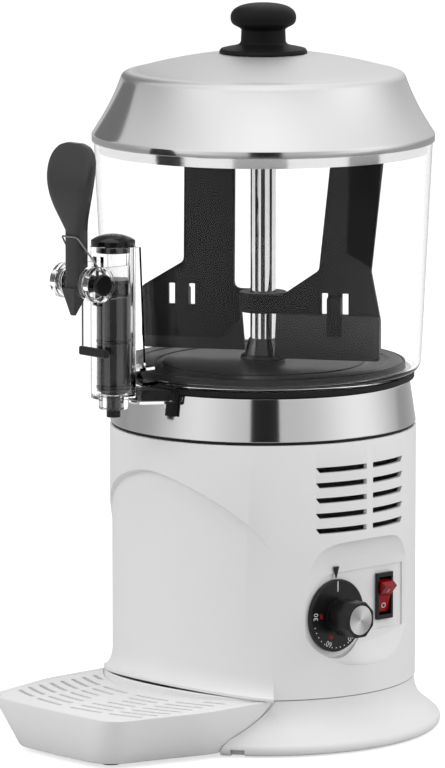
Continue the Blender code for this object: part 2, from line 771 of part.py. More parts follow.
def outer_line(angle, in_front):
    """Outline of the housing's outer side at one angle, from the bottom up, as (radius, height)."""
    if not in_front:
        bottom, shoulder = BODY_BOTTOM, BODY_BOTTOM + TOE_HEIGHT
        radii = [BODY_RADIUS] * (ARC_STEPS + 2)
        arch = ARCH_SPRING
        face = BODY_RADIUS
    else:
        side = BODY_RADIUS * math.sin(angle)
        bottom, shoulder = toe_height(side), toe_height(side) + TOE_HEIGHT
        face = face_reach(angle, FACE_RADIUS)
        toe = face_reach(angle, FACE_RADIUS + TOE_FLARE)
        turns = [math.pi / 2 * step / ARC_STEPS for step in range(ARC_STEPS + 1)]
        radii = [toe] + [face + (toe - face) * (1 - math.sin(turn)) for turn in turns]
        arch = arch_height(side)
    turns = [math.pi / 2 * step / ARC_STEPS for step in range(ARC_STEPS + 1)]
    knee = bottom + TOE_HEIGHT / 8
    heights = [bottom] + [knee + (shoulder - knee) * (1 - math.cos(turn)) for turn in turns]
    line = list(zip(radii, heights))
    line.append((face, arch))
    line.append((BODY_RADIUS, arch + ARCH_STEP))
    line.append((BODY_RADIUS, BODY_TOP))
    return line


def inner_line(angle, in_front):
    """Outline of the housing's inner side at one angle, a wall's thickness in, more behind the controls."""
    wall = BODY_RADIUS - BODY_WALL
    towards_controls = math.sin(angle)
    panel = PANEL_X - POCKET_DEPTH - BODY_WALL
    near = min(wall, panel / towards_controls) if towards_controls > 0 else wall
    low, high = SCOOP_BOTTOM - BODY_WALL, SCOOP_TOP + BODY_WALL
    if in_front:
        side = BODY_RADIUS * math.sin(angle)
        near = face_reach(angle, FACE_RADIUS) - BODY_WALL
        high = arch_height(side) + BODY_WALL
        bottom = toe_height(side)
        rows = [(near, mix(bottom, high, share)) for share in (0, *TOE_INNER_SHARES, 1)]
        return rows + [(wall, high + ARCH_STEP), (wall, BODY_TOP)]
    return [(wall, BODY_BOTTOM), (wall, low), (near, low + ARCH_STEP), (near, high),
            (wall, high + ARCH_STEP), (wall, BODY_TOP)]


def housing_skin(name):
    """Outer and inner sides of the housing, joined at the bottom and the top."""
    shape = bmesh.new()
    rings = []
    for angle, in_front in housing_columns():
        line = outer_line(angle, in_front) + inner_line(angle, in_front)[::-1]
        rings.append([
            shape.verts.new((radius * math.sin(angle), -radius * math.cos(angle), height))
            for radius, height in line])
    count = len(rings[0])
    for here, ring in enumerate(rings):
        ahead = rings[(here + 1) % len(rings)]
        for row in range(count):
            above = (row + 1) % count
            shape.faces.new((ring[row], ahead[row], ahead[above], ring[above]))
    bmesh.ops.remove_doubles(shape, verts=shape.verts, dist=GAP / BIG_SIDES)
    return object_from_bmesh(name, shape)


def scoop_loop(x, grow_top, grow_bottom):
    """Outline of the control recess at one depth: an arched head, straight sides and a rounded sill."""
    left, right = SCOOP_LEFT, SCOOP_RIGHT
    top, shoulder = SCOOP_TOP + grow_top, SCOOP_SHOULDER + grow_top
    bottom, sill = SCOOP_BOTTOM - grow_bottom, SCOOP_SILL - grow_bottom
    head = [(mix(left, right, step / 8),
             shoulder + (top - shoulder) * math.sin(math.pi * step / 8)) for step in range(9)]
    foot = [(mix(right, left, step / 8),
             sill + (bottom - sill) * math.sin(math.pi * step / 8)) for step in range(9)]
    return [(x, y, z) for y, z in head + foot]


def control_pocket(name, low, high):
    """The flat pocket of the controls: a round end about the dial run into a straight-sided panel."""
    start = math.degrees(math.asin((POCKET_TOP - DIAL_Z) / (POCKET_ROUND + SEAM)))
    end = math.degrees(math.asin((POCKET_BOTTOM - DIAL_Z) / POCKET_ROUND))
    outline = arc((DIAL_Y, DIAL_Z), POCKET_ROUND, start, 360 + end, MIDDLE_SIDES // 2)
    outline += [(POCKET_RIGHT, POCKET_BOTTOM), (POCKET_RIGHT, POCKET_TOP)]
    return prism(name, outline, low, high, "X")


def vent_slots():
    """Cutters of the vents: each column's outer ends slant inwards towards the bottom."""
    cutters = []
    for row in range(VENT_ROWS):
        middle = VENT_TOP - row * VENT_PITCH
        top, bottom = middle + VENT_HEIGHT / 2, middle - VENT_HEIGHT / 2
        left, inner = VENT_LEFT
        outline = [(left, top), (inner, top), (inner, bottom), (left + VENT_SLANT, bottom)]
        cutters.append(prism("slot", outline, PANEL_X - BODY_WALL * 4, BODY_RADIUS + OVERRUN, "X"))
        inner, right = VENT_RIGHT
        outline = [(inner, top), (right, top), (right - VENT_SLANT, bottom), (inner, bottom)]
        cutters.append(prism("slot", outline, PANEL_X - BODY_WALL * 4, BODY_RADIUS + OVERRUN, "X"))
    return cutters


def make_housing(axis):
    """White moulded shell: front recess, control recess with its pocket, vents and cut-outs."""
    shell = housing_skin("body_shell")
    outer_x = BODY_RADIUS + OVERRUN
    head, sole = SCOOP_STEP_SHARES
    run_head, run_sole = SCOOP_RUN_OUT_SHARES
    scoop = loft("scoop", [
        scoop_loop(PANEL_X, -SCOOP_DRAFT, -SCOOP_SOLE),
        scoop_loop(mix(PANEL_X, BODY_RADIUS, SCOOP_STEP_SHARE), -SCOOP_DRAFT * head, -SCOOP_SOLE * sole),
        scoop_loop(BODY_RADIUS, 0, 0),
        scoop_loop(outer_x, SCOOP_DRAFT * run_head, SCOOP_SOLE * run_sole)])
    cut(shell, scoop)
    cut(shell, control_pocket("pocket", PANEL_X - POCKET_DEPTH, BODY_RADIUS + OVERRUN))
    inside = PANEL_X - POCKET_DEPTH - BODY_WALL - OVERRUN
    cut(shell, moved(rod("hole", SPINDLE_RADIUS + GAP, inside, BODY_RADIUS, axis="X"), (0, DIAL_Y, DIAL_Z)))
    half_y, half_z = SWITCH_WIDTH / 2 - SWITCH_FRAME + GAP, SWITCH_HEIGHT / 2 - SWITCH_FRAME + GAP
    cut(shell, block("hole", (inside, SWITCH_Y - half_y, SWITCH_Z - half_z),
                     (BODY_RADIUS, SWITCH_Y + half_y, SWITCH_Z + half_z)))
    cut(shell, *vent_slots())
    gland = prism("hole", arc((0, GLAND_Z), GLAND_RADIUS + GAP, 0, 342, SMALL_SIDES - 1),
                  BODY_RADIUS - BODY_WALL * 2, BODY_RADIUS + OVERRUN, "Y")
    cut(shell, gland)
    return place(shell, WHITE, axis)


def tray_loop(share, grow, height=None):
    """Outline of the tray at a share of its height, 0 at the bottom and 1 at the rim, grown outwards."""
    halves = [mix(low, high, share) + grow for low, high in zip(TRAY_BOTTOM_HALVES, TRAY_TOP_HALVES)]
    insets = [mix(low, high, share) for low, high in zip(TRAY_BOTTOM_INSETS, TRAY_TOP_INSETS)]
    wide, slope, front = [inset - TRAY_REACH - grow for inset in insets]
    bow = TRAY_TOP_BOW
    corner = max(mix(TRAY_BOTTOM_CORNER, TRAY_TOP_CORNER, share) + grow, TRAY_WALL)
    back_radius = TRAY_BACK_RADIUS - grow
    back_angle = math.degrees(math.asin(halves[0] / back_radius))
    right = [(halves[1], wide + grow, corner), (halves[2], slope + grow, corner), (halves[3], front, corner)]
    left = [(-x, y, radius) for x, y, radius in reversed(right)]
    back = [polar(back_radius, -back_angle + 2 * back_angle * step / 14) for step in range(15)]
    outline = rounded(back + right + [(0, front - bow)] + left)
    level = mix(TRAY_BOTTOM, TRAY_TOP, share) if height is None else height
    return [(x, y, level) for x, y in outline]


def tray_solid(name, low, high, grow):
    """The tray's outer form between two heights, grown or shrunk."""
    depth = TRAY_TOP - TRAY_BOTTOM
    return loft(name, [tray_loop((level - TRAY_BOTTOM) / depth, grow, level) for level in (low, high)])


def make_foot(axis):
    """White flared ring under the housing, cut away where the tray stands."""
    nose = (FOOT_RADIUS - FOOT_NOSE_RADIUS, FOOT_BOTTOM + FOOT_NOSE_RADIUS)
    top = (FOOT_WAIST_RADIUS, FOOT_TOP)
    rim = arc(nose, FOOT_NOSE_RADIUS, 60, -80, 5)
    drop = FOOT_TOP - rim[0][1]
    reach = rim[0][0] - top[0]
    flare = bezier(
        top, (top[0], top[1] - drop * FLARE_SHARES[0]),
        (rim[0][0] - reach * FLARE_SHARES[1], rim[0][1] + drop * FLARE_SHARES[2]), rim[0], 8)
    ledge_top = FOOT_LEDGE_HEIGHT
    inner = [(FOOT_LEDGE_RADIUS, FOOT_BOTTOM), (FOOT_LEDGE_RADIUS, ledge_top), (FOOT_INNER_RADIUS, ledge_top),
             (FOOT_INNER_RADIUS, FOOT_TOP)]
    foot = lathe("base_foot", flare + rim[1:] + inner, BIG_SIDES)
    cut(foot, tray_solid("tray space", FOOT_BOTTOM - OVERRUN, FOOT_TOP + OVERRUN, TRAY_CLEARANCE))
    for side in (-1, 1):
        x, y = polar(FOOT_RADIUS, side * NOTCH_ANGLE)
        notch = block("notch", (-NOTCH_WIDTH / 2, -NOTCH_DEPTH, FOOT_BOTTOM - OVERRUN),
                      (NOTCH_WIDTH / 2, NOTCH_DEPTH, FOOT_BOTTOM + NOTCH_HEIGHT))
        turned(notch, side * NOTCH_ANGLE)
        cut(foot, moved(notch, (x, y, 0)))
    return place(foot, WHITE, axis)


def make_base_plate(axis):
    """Steel plate that closes the foot ring, on four rubber feet."""
    top = FOOT_LEDGE_HEIGHT - GAP
    bottom = top - PLATE_THICKNESS
    plate = rod("base_plate", FOOT_LEDGE_RADIUS - GAP, bottom, top, BIG_SIDES)
    cut(plate, tray_solid("tray space", FOOT_BOTTOM - OVERRUN, FOOT_TOP, TRAY_CLEARANCE))
    place(plate, STEEL, axis)
    for number, angle in enumerate(RUBBER_FOOT_ANGLES, 1):
        x, y = polar(RUBBER_FOOT_RING, angle)
        pad = RUBBER_FOOT_RADIUS
        profile = [(0, bottom - GAP), (pad, bottom - GAP), (pad, bottom / 3), (pad - bottom / 3, 0), (0, 0)]
        foot = lathe("rubber_foot_%d" % number, profile, SMALL_SIDES, (x, y))
        place(foot, RUBBER, axis, (x, y, 0))


def ring_radius(height):
    """Outer radius of the steel ring at a height."""
    bottom = BODY_TOP + DECK_THICKNESS + 2 * GAP
    share = (height - bottom) / (RING_TOP - bottom)
    return mix(RING_FOOT_RADIUS, RING_HEAD_RADIUS, share)


def make_heating_section(axis):
    """Deck, steel ring, and the heating plate with its element and spacers."""
    deck_bottom = BODY_TOP + GAP
    deck_top = deck_bottom + DECK_THICKNESS
    hole = SHAFT_RADIUS + 4 * GAP
    deck = lathe("deck_plate", [(hole, deck_top), (BODY_RADIUS - DECK_EDGE, deck_top),
                                (BODY_RADIUS - DECK_EDGE, deck_bottom), (hole, deck_bottom)], BIG_SIDES)
    place(deck, STEEL, axis)

    ring_bottom = deck_top + GAP
    inner = RING_HEAD_RADIUS - RING_LIP
    profile = rounded([
        (RING_FOOT_RADIUS, ring_bottom), (RING_FOOT_RADIUS - RING_WALL, ring_bottom),
        (RING_HEAD_RADIUS - RING_WALL, RING_TOP - RING_WALL), (inner, RING_TOP - RING_WALL),
        (inner, RING_TOP), (RING_HEAD_RADIUS, RING_TOP, RING_ROUND)], 3)
    place(lathe("steel_ring", profile[::-1], BIG_SIDES), STEEL, axis)

    bore = COLUMN_RADIUS + GAP
    profile = [
        (bore, HEATER_TOP), (HEATER_RADIUS - HEATER_EDGE, HEATER_TOP),
        (HEATER_RADIUS, HEATER_TOP - HEATER_EDGE), (HEATER_RADIUS, HEATER_BOTTOM), (bore, HEATER_BOTTOM)]
    place(lathe("heating_plate", profile, BIG_SIDES), BLACK, axis)

    middle = HEATER_BOTTOM - GAP - ELEMENT_RADIUS
    section = [(ELEMENT_RING + x, middle + z) for x, z in arc((0, 0), ELEMENT_RADIUS, 90, -225, 7)]
    place(lathe("heating_element", section, MIDDLE_SIDES), STEEL, axis)
    for number, angle in enumerate(SPACER_ANGLES, 1):
        spot = polar(SPACER_RING, angle)
        name = "plate_spacer_%d" % number
        spacer = rod(name, SPACER_RADIUS, deck_top + GAP, HEATER_BOTTOM - GAP, centre=spot)
        place(spacer, STEEL, axis, (*spot, 0))


def trough_outline(inset, back, front=TROUGH_FRONT):
    """Plan of the trough between the tube and the steel ring, cut off straight at the back."""
    front_half, back_half = (half - inset for half in TROUGH_HALF_WIDTHS)
    front -= inset
    grow = (back_half - front_half) / (front - TROUGH_BACK)
    back_half += grow * (TROUGH_BACK - back)
    return rounded([
        (-front_half, -front, TROUGH_ROUND), (front_half, -front, TROUGH_ROUND), (back_half, -back),
        (-back_half, -back)], 2)


def make_seal(axis):
    """Rubber seal of the bowl: a ring with a collar, a block in the outlet's trough and a tab to pull."""
    bottom = RING_TOP + GAP
    top = bottom + SEAL_THICKNESS
    inner = HEATER_RADIUS + SEAL_PLAY
    profile = [
        (inner, SEAL_COLLAR_TOP), (inner + SEAL_COLLAR, SEAL_COLLAR_TOP), (inner + SEAL_COLLAR, top),
        (SEAL_OUTER_RADIUS, top), (SEAL_OUTER_RADIUS, bottom), (inner, bottom)]
    seal = lathe("bowl_seal", profile, BIG_SIDES)
    low = TROUGH_BOTTOM + TROUGH_WALL + GAP
    tube_back = -TAP_Y - TAP_RADIUS - GAP
    plan = trough_outline(TROUGH_WALL + GAP, RING_FOOT_RADIUS, tube_back + TROUGH_WALL)
    front = prism("block", plan, low, top - SEAL_THICKNESS / 8)
    neck_half = TROUGH_HALF_WIDTHS[0]
    neck = block("neck", (-neck_half, TROUGH_ROUND - tube_back, bottom + SEAL_THICKNESS / 8),
                 (neck_half, -RING_HEAD_RADIUS, top - SEAL_THICKNESS / 4))
    unite(seal, front, neck)
    levels = (TAB_BOTTOM, top - SEAL_THICKNESS / 2)
    near = [(-(ring_radius(level) + TAB_CLEARANCE), level) for level in levels]
    section = near + [(y - TAB_THICKNESS, z) for y, z in reversed(near)]
    tab = prism("tab", section, -TAB_WIDTH / 2, TAB_WIDTH / 2, "X")
    unite(seal, turned(tab, TAB_ANGLE))
    return place(seal, RUBBER, axis)


def make_column(axis):
    """Fixed steel column on the deck, the hub at its foot and the two bushes inside."""
    deck_top = BODY_TOP + GAP + DECK_THICKNESS
    bore = COLUMN_RADIUS - COLUMN_WALL
    bottom = deck_top + GAP
    place(lathe("column_tube", [(bore, COLUMN_TOP), (COLUMN_RADIUS, COLUMN_TOP), (COLUMN_RADIUS, bottom),
                                (bore, bottom)], MIDDLE_SIDES), STEEL, axis)

    low = HEATER_TOP + GAP
    flange_top = low + HUB_FLANGE
    inner = COLUMN_RADIUS + GAP
    profile = [
        (inner, flange_top + HUB_CONE_HEIGHT), (inner + HUB_RIM / 2, flange_top + HUB_CONE_HEIGHT),
        (HUB_CONE_RADIUS, flange_top), (HUB_FLANGE_RADIUS - HUB_RIM, flange_top),
        (HUB_FLANGE_RADIUS, flange_top - HUB_RIM), (HUB_FLANGE_RADIUS, low), (inner, low)]
    place(lathe("column_hub", profile, MIDDLE_SIDES), BLACK, axis)

    for name, level in (("lower_bush", bottom + BUSH_LENGTH), ("upper_bush", COLUMN_TOP)):
        profile = [(SHAFT_RADIUS + GAP, level), (bore - GAP, level), (bore - GAP, level - BUSH_LENGTH),
                   (SHAFT_RADIUS + GAP, level - BUSH_LENGTH)]
        place(lathe(name, profile, SMALL_SIDES), BRASS, axis)


def make_drive(axis):
    """Gear motor hung under the deck, and the shaft that runs up through the column."""
    deck_bottom = BODY_TOP + GAP
    top = deck_bottom - GEARBOX_DROP
    half_x, half_y = GEARBOX_SIZE[0] / 2, GEARBOX_SIZE[1] / 2
    shift = GEARBOX_SIZE[0] / 6
    corner = GEARBOX_CORNER
    outline = rounded([(shift - half_x, -half_y, corner), (shift + half_x, -half_y, corner),
                       (shift + half_x, half_y, corner), (shift - half_x, half_y, corner)], 3)
    gearbox = prism("gearbox", outline, top - GEARBOX_SIZE[2], top)
    pads = []
    for x in (shift - half_x + corner, shift + half_x - corner):
        for y in (-half_y + corner, half_y - corner):
            pads.append(rod("pad", MOUNT_PAD_RADIUS, top - corner, deck_bottom - GAP, 12, (x, y)))
    unite(gearbox, *pads)
    cut(gearbox, rod("bore", SHAFT_RADIUS + GAP, top - GEARBOX_SIZE[2] / 2, top + OVERRUN))
    place(gearbox, STEEL, axis)

    motor_top = top - GEARBOX_SIZE[2] - GAP
    motor_low = motor_top - MOTOR_LENGTH
    spot = (shift + half_x - MOTOR_RADIUS - GEARBOX_CORNER / 2, 0)
    cap = motor_low - MOTOR_CAP
    profile = [(0, motor_top), (MOTOR_RADIUS, motor_top), (MOTOR_RADIUS, motor_low),
               (MOTOR_CAP_RADIUS, motor_low), (MOTOR_CAP_RADIUS, cap), (0, cap)]
    place(lathe("motor", profile, MIDDLE_SIDES, spot), DARK, axis, (*spot, 0))

    low = top - GEARBOX_SIZE[2] / 2 + GAP
    shaft = rod("drive_shaft", SHAFT_RADIUS, low, SHAFT_TOP)
    for side in (-1, 1):
        far = side * (SHAFT_RADIUS + OVERRUN)
        near = side * SHAFT_FLAT
        flat = block("flat", (min(near, far), -SHAFT_RADIUS - OVERRUN, SHAFT_TOP - SHAFT_FLAT_LENGTH),
                     (max(near, far), SHAFT_RADIUS + OVERRUN, SHAFT_TOP + OVERRUN))
        cut(shaft, flat)
    turned(shaft, STIRRER_TURN)
    place(shaft, STEEL, axis)


def blade_outline(arm, lean, arm_foot, tip, tip_shoulder):
    """Outline of one side of the stirrer: bridge, arm and blade, from the axis outwards."""
    turn = OUTLINE_ROUND
    top_lean = lean * (BRIDGE_TOP - BLADE_WAIST) / (BRIDGE_BOTTOM - BLADE_WAIST)
    heel_inner, heel_outer = BLADE_HEEL
    low, high = COLLAR_BOTTOM + GAP, COLLAR_TOP - GAP
    return rounded([
        (0, low), (0, high), (COLLAR_RADIUS, high), (arm[0], arm_foot, turn),
        (arm[0] + lean, BRIDGE_BOTTOM, turn), (0, BRIDGE_BOTTOM), (0, BRIDGE_TOP),
        (arm[1] + top_lean, BRIDGE_TOP, turn), (arm[1], BLADE_WAIST, turn), (tip, tip_shoulder, turn),
        (tip, BLADE_BOTTOM), (heel_outer, BLADE_BOTTOM), (heel_inner, BLADE_HEEL_TOP), (heel_inner, low)])


def clip_tongue(middle, front):
    """The tongue that holds a scraper: it steps forward between two slots and runs down over its face."""
    half = CLIP_TONGUE_WIDTH / 2
    face = front - SCRAPER_THICKNESS - 2 * GAP
    far = face - CLIP_TONGUE_THICKNESS
    inside = front + STIRRER_THICKNESS / 2
    step = SCRAPER_TOP + GAP
    crown = CLIP_SLOT_TOP - CLIP_TONGUE_THICKNESS
    outline = [(inside, crown), (far, crown - CLIP_TONGUE_THICKNESS), (far, CLIP_TONGUE_TIP),
               (face, CLIP_TONGUE_TIP), (face, step), (inside, step)]
    return prism("tongue", outline, middle - half, middle + half, "X")


def stirrer_side(outline, clip_x):
    """One arm with its blade, clip slots and tongue, in the plane beside the axis."""
    front = -STIRRER_OFFSET
    plate = prism("side", outline, front, front + STIRRER_THICKNESS, "Y")
    unite(plate, clip_tongue(clip_x, front))
    for side in (-1, 1):
        near = clip_x + side * (CLIP_TONGUE_WIDTH / 2)
        far = near + side * CLIP_SLOT_WIDTH
        slot = block("slot", (min(near, far), front - GAP, CLIP_SLOT_BOTTOM),
                     (max(near, far), front + STIRRER_THICKNESS + OVERRUN, CLIP_SLOT_TOP))
        cut(plate, slot)
    return plate


def make_stirrer(axis):
    """Black stirrer and the two scraper blades clipped to its leading faces."""
    bore = COLUMN_RADIUS + COLLAR_CLEARANCE
    outline = blade_outline(OUTER_ARM, OUTER_ARM_LEAN, OUTER_ARM_FOOT, OUTER_TIP, OUTER_TIP_SHOULDER)
    outer = stirrer_side(outline, OUTER_CLIP_X)
    outline = blade_outline(INNER_ARM, INNER_ARM_LEAN, INNER_ARM_FOOT, INNER_TIP, INNER_TIP_SHOULDER)
    inner = stirrer_side(outline, INNER_CLIP_X)
    turned(inner, 180)
    stirrer = rod("stirrer", COLLAR_RADIUS, COLLAR_BOTTOM, COLLAR_TOP, MIDDLE_SIDES)
    profile = rounded([
        (0, HEAD_TOP), (COLLAR_RADIUS, HEAD_TOP, HEAD_ROUND), (COLLAR_RADIUS, BRIDGE_BOTTOM - SEAM),
        (0, BRIDGE_BOTTOM - SEAM)], 3)
    unite(stirrer, outer, inner, lathe("head", profile, MIDDLE_SIDES))
    cut(stirrer, rod("bore", bore, COLLAR_BOTTOM - OVERRUN, COLUMN_TOP + 2 * GAP, MIDDLE_SIDES))
    socket = rod("socket", SHAFT_RADIUS + GAP, COLUMN_TOP - OVERRUN, SHAFT_TOP - SHAFT_FLAT_LENGTH)
    key_high = SHAFT_TOP + GAP
    flats = rod("key", SHAFT_RADIUS + GAP, COLUMN_TOP - OVERRUN, key_high)
    for side in (-1, 1):
        far = side * (SHAFT_RADIUS + OVERRUN)
        near = side * (SHAFT_FLAT + GAP)
        cut(flats, block("flat", (min(near, far), -SHAFT_RADIUS - OVERRUN, COLUMN_TOP - 2 * OVERRUN),
                         (max(near, far), SHAFT_RADIUS + OVERRUN, key_high + OVERRUN)))
    cut(stirrer, socket)
    cut(stirrer, flats)
    turned(stirrer, STIRRER_TURN)
    place(stirrer, DARK, axis)

    for name, tip, spin in (("scraper_outer", OUTER_TIP, 0), ("scraper_inner", INNER_TIP, 180)):
        front = -STIRRER_OFFSET - GAP
        outline = rounded([(SCRAPER_INNER, SCRAPER_BOTTOM), (tip, SCRAPER_BOTTOM, SCRAPER_THICKNESS),
                           (tip, SCRAPER_TOP, SCRAPER_THICKNESS), (BLADE_HEEL[0], SCRAPER_TOP)], 2)
        blade = prism(name, outline, front - SCRAPER_THICKNESS, front, "Y")
        turned(blade, STIRRER_TURN + spin)
        place(blade, BLACK, axis)


def bowl_radius(height):
    """Outer radius of the bowl's wall at a height above its rounded foot."""
    low = BOWL_FOOT + BOWL_CORNER
    return mix(BOWL_FOOT_RADIUS, BOWL_TOP_RADIUS, (height - low) / (BOWL_TOP - low))


def ear(side):
    """One ear of the lever's pivot on an arm beside the tube, with an open rim round the spring's coil."""
    low, high = sorted((side * EAR_RECESS_X, side * EAR_OUTER_X))
    boss = moved(rod("ear", EAR_RADIUS, low, high, MIDDLE_SIDES, axis="X"), (0, PIVOT_Y, PIVOT_Z))
    start, end = EAR_RIM_ANGLES
    outline = arc((PIVOT_Y, PIVOT_Z), EAR_RADIUS - SEAM / 2, start, end, 12)
    outline += arc((PIVOT_Y, PIVOT_Z), EAR_RECESS_RADIUS, end, start, 12)
    low, high = sorted((side * EAR_INNER_X, side * (EAR_RECESS_X + EAR_OUTER_X) / 2))
    rim = prism("rim", outline, low, high, "X")
    low, high = sorted((side * (EAR_RECESS_X + SEAM), side * EAR_ARM_X))
    half = EAR_ARM_HEIGHT / 2
    arm = block("arm", (low, PIVOT_Y + PIN_HEAD_RADIUS, PIVOT_Z - half), (high, TAP_Y, PIVOT_Z + half))
    unite(boss, arm, rim)
    low, high = sorted((side * (EAR_RECESS_X - OVERRUN), side * (EAR_OUTER_X + OVERRUN)))
    hole = PIN_RADIUS + PIN_CLEARANCE
    cut(boss, moved(rod("pin hole", hole, low, high, axis="X"), (0, PIVOT_Y, PIVOT_Z)))
    return boss


def channel_cutter():
    """The drink's way from the bowl through its wall and the duct into the tap's tube."""
    back = BOWL_FOOT_RADIUS - 2 * BOWL_CORNER
    low = (-DUCT_WIDTH / 2, TAP_Y, DUCT_BOTTOM)
    return block("channel", low, (DUCT_WIDTH / 2, -back, DUCT_BOTTOM + DUCT_HEIGHT))


def make_bowl(axis):
    """Clear bowl. Its tap body is moulded on in one piece with it, and is kept as a piece of its own here."""
    wall = BOWL_WALL
    hole = HEATER_RADIUS + SEAL_PLAY + SEAL_COLLAR + GAP
    low = BOWL_FOOT + BOWL_CORNER
    outside = arc((BOWL_FOOT_RADIUS - BOWL_CORNER, low), BOWL_CORNER, -90, 0, 3)
    inside = arc((BOWL_FOOT_RADIUS - BOWL_CORNER, low), BOWL_CORNER - wall, 0, -90, 3)
    profile = (
        [(BOWL_TOP_RADIUS - wall, BOWL_TOP), (BOWL_TOP_RADIUS, BOWL_TOP)] + outside[::-1]
        + [(hole, BOWL_FOOT), (hole, BOWL_FOOT + wall)] + inside[::-1])
    bowl = lathe("bowl", profile, BIG_SIDES)
    cut(bowl, channel_cutter())
    place(bowl, CLEAR, axis)


def make_tap_body(axis):
    """Clear front of the bowl: the tap's tube with its duct, web, trough and pivot ears."""
    wall = BOWL_WALL
    low = BOWL_FOOT + BOWL_CORNER
    body = lathe("tap_body", [(0, TAP_TOP), (TAP_RADIUS, TAP_TOP), (TAP_RADIUS, TAP_BOTTOM),
                              (TAP_COLLAR_RADIUS, TAP_BOTTOM), (TAP_COLLAR_RADIUS, TAP_COLLAR_BOTTOM),
                              (0, TAP_COLLAR_BOTTOM)], MIDDLE_SIDES, (0, TAP_Y))
    front = TAP_Y + TAP_RADIUS / 2
    duct_half = DUCT_WIDTH / 2 + DUCT_WALL
    duct_top = DUCT_BOTTOM + DUCT_HEIGHT + DUCT_WALL
    duct_low = DUCT_BOTTOM - DUCT_WALL
    root = arc((BOWL_FOOT_RADIUS - BOWL_CORNER, low), BOWL_CORNER - wall / 2, -68, 0, 3)
    outline = [(front, duct_low)] + [(-radius, height) for radius, height in root]
    duct = prism("duct", outline + [(-(bowl_radius(duct_top) - wall / 2), duct_top), (front, duct_top)],
                 -duct_half, duct_half, "X")
    half = WEB_THICKNESS / 2
    web_low = duct_top - DUCT_WALL / 2
    outline = [(front, WEB_TOP), (front, web_low), (-(bowl_radius(web_low) - wall / 2), web_low),
               (-(bowl_radius(WEB_TOP) - wall / 2), WEB_TOP)]
    web = prism("web", outline, -half, half, "X")
    trough = prism("trough", trough_outline(0, TROUGH_BACK), TROUGH_BOTTOM, duct_low + DUCT_WALL / 2)
    cut(trough, prism("trough space", trough_outline(TROUGH_WALL, TROUGH_BACK - OVERRUN),
                      TROUGH_BOTTOM + TROUGH_WALL, BOWL_FOOT))
    unite(body, web, duct, trough, ear(-1), ear(1))

    slot_half = TAP_SLOT_WIDTH / 2
    seat = TAP_BOTTOM + TAP_FLOOR
    outlet = NOZZLE_RADIUS + GAP
    above, below = TAP_TOP + OVERRUN, TAP_COLLAR_BOTTOM - OVERRUN
    cut(body, lathe("bore", [(0, above), (TAP_BORE, above), (TAP_BORE, seat), (outlet, seat), (outlet, below),
                             (0, below)], MIDDLE_SIDES, (0, TAP_Y)))
    cut(body, channel_cutter())
    cut(body, block("slot", (-slot_half, TAP_Y - TAP_RADIUS - OVERRUN, TAP_SLOT_BOTTOM),
                    (slot_half, TAP_Y, TAP_SLOT_TOP)))
    skin = arc((BOWL_FOOT_RADIUS - BOWL_CORNER, low), BOWL_CORNER + GAP, -90, 0, 3)
    above = BOWL_TOP + OVERRUN
    cut(body, lathe("bowl space", [(0, above), (BOWL_TOP_RADIUS + GAP, above)] + skin[::-1]
                    + [(0, BOWL_FOOT - GAP)], BIG_SIDES))
    return place(body, CLEAR, axis)


def make_tap_parts(axis, pivot):
    """Cap, nozzle, pivot pin and its end cap, lever, piston and rings, spring bar."""
    plug = TAP_BORE - GAP
    rim = TAP_TOP + GAP
    profile = [
        (0, CAP_TOP), (CAP_CROWN_RADIUS, CAP_TOP - GAP), (CAP_RADIUS, rim + CAP_BAND), (CAP_RADIUS, rim),
        (plug, rim), (plug, rim - CAP_PLUG), (plug - CAP_PLUG_WALL, rim - CAP_PLUG),
        (plug - CAP_PLUG_WALL, rim), (0, rim)]
    place(lathe("tap_cap", profile, MIDDLE_SIDES, (0, TAP_Y)), BLACK, axis, (0, TAP_Y, TAP_TOP))

    seat = TAP_BOTTOM + TAP_FLOOR + GAP
    profile = [
        (NOZZLE_BORE, seat + NOZZLE_FLANGE), (NOZZLE_FLANGE_RADIUS, seat + NOZZLE_FLANGE),
        (NOZZLE_FLANGE_RADIUS, seat), (NOZZLE_RADIUS, seat), (NOZZLE_RADIUS, NOZZLE_BOTTOM),
        (NOZZLE_BORE, NOZZLE_BOTTOM)]
    place(lathe("tap_nozzle", profile, SMALL_SIDES, (0, TAP_Y)), BLACK, axis, (0, TAP_Y, TAP_TOP))

    far = EAR_OUTER_X + GAP
    profile = [
        (0, far + PIN_HEAD), (PIN_HEAD_RADIUS, far + PIN_HEAD), (PIN_HEAD_RADIUS, far), (PIN_RADIUS, far),
        (PIN_RADIUS, GAP - far), (0, GAP - far)]
    place(lathe("pivot_pin", profile, SMALL_SIDES, axis="X"), BLACK, pivot)
    place(rod("pin_cap", PIN_HEAD_RADIUS, -far - PIN_HEAD, -far, axis="X"), BLACK, pivot)

    make_lever(pivot)
    make_piston(axis)

    back = TAP_Y - TAP_RADIUS - GAP
    low, high = (-BAR_HALF, back - BAR_THICKNESS, BAR_TOP - BAR_HEIGHT), (BAR_HALF, back, BAR_TOP)
    bar = block("spring_bar", low, high)
    edge = bar.modifiers.new("edge", "BEVEL")
    edge.width = BAR_ROUND
    edge.segments = 1
    place(bar, BLACK, axis)
    make_return_spring(axis)


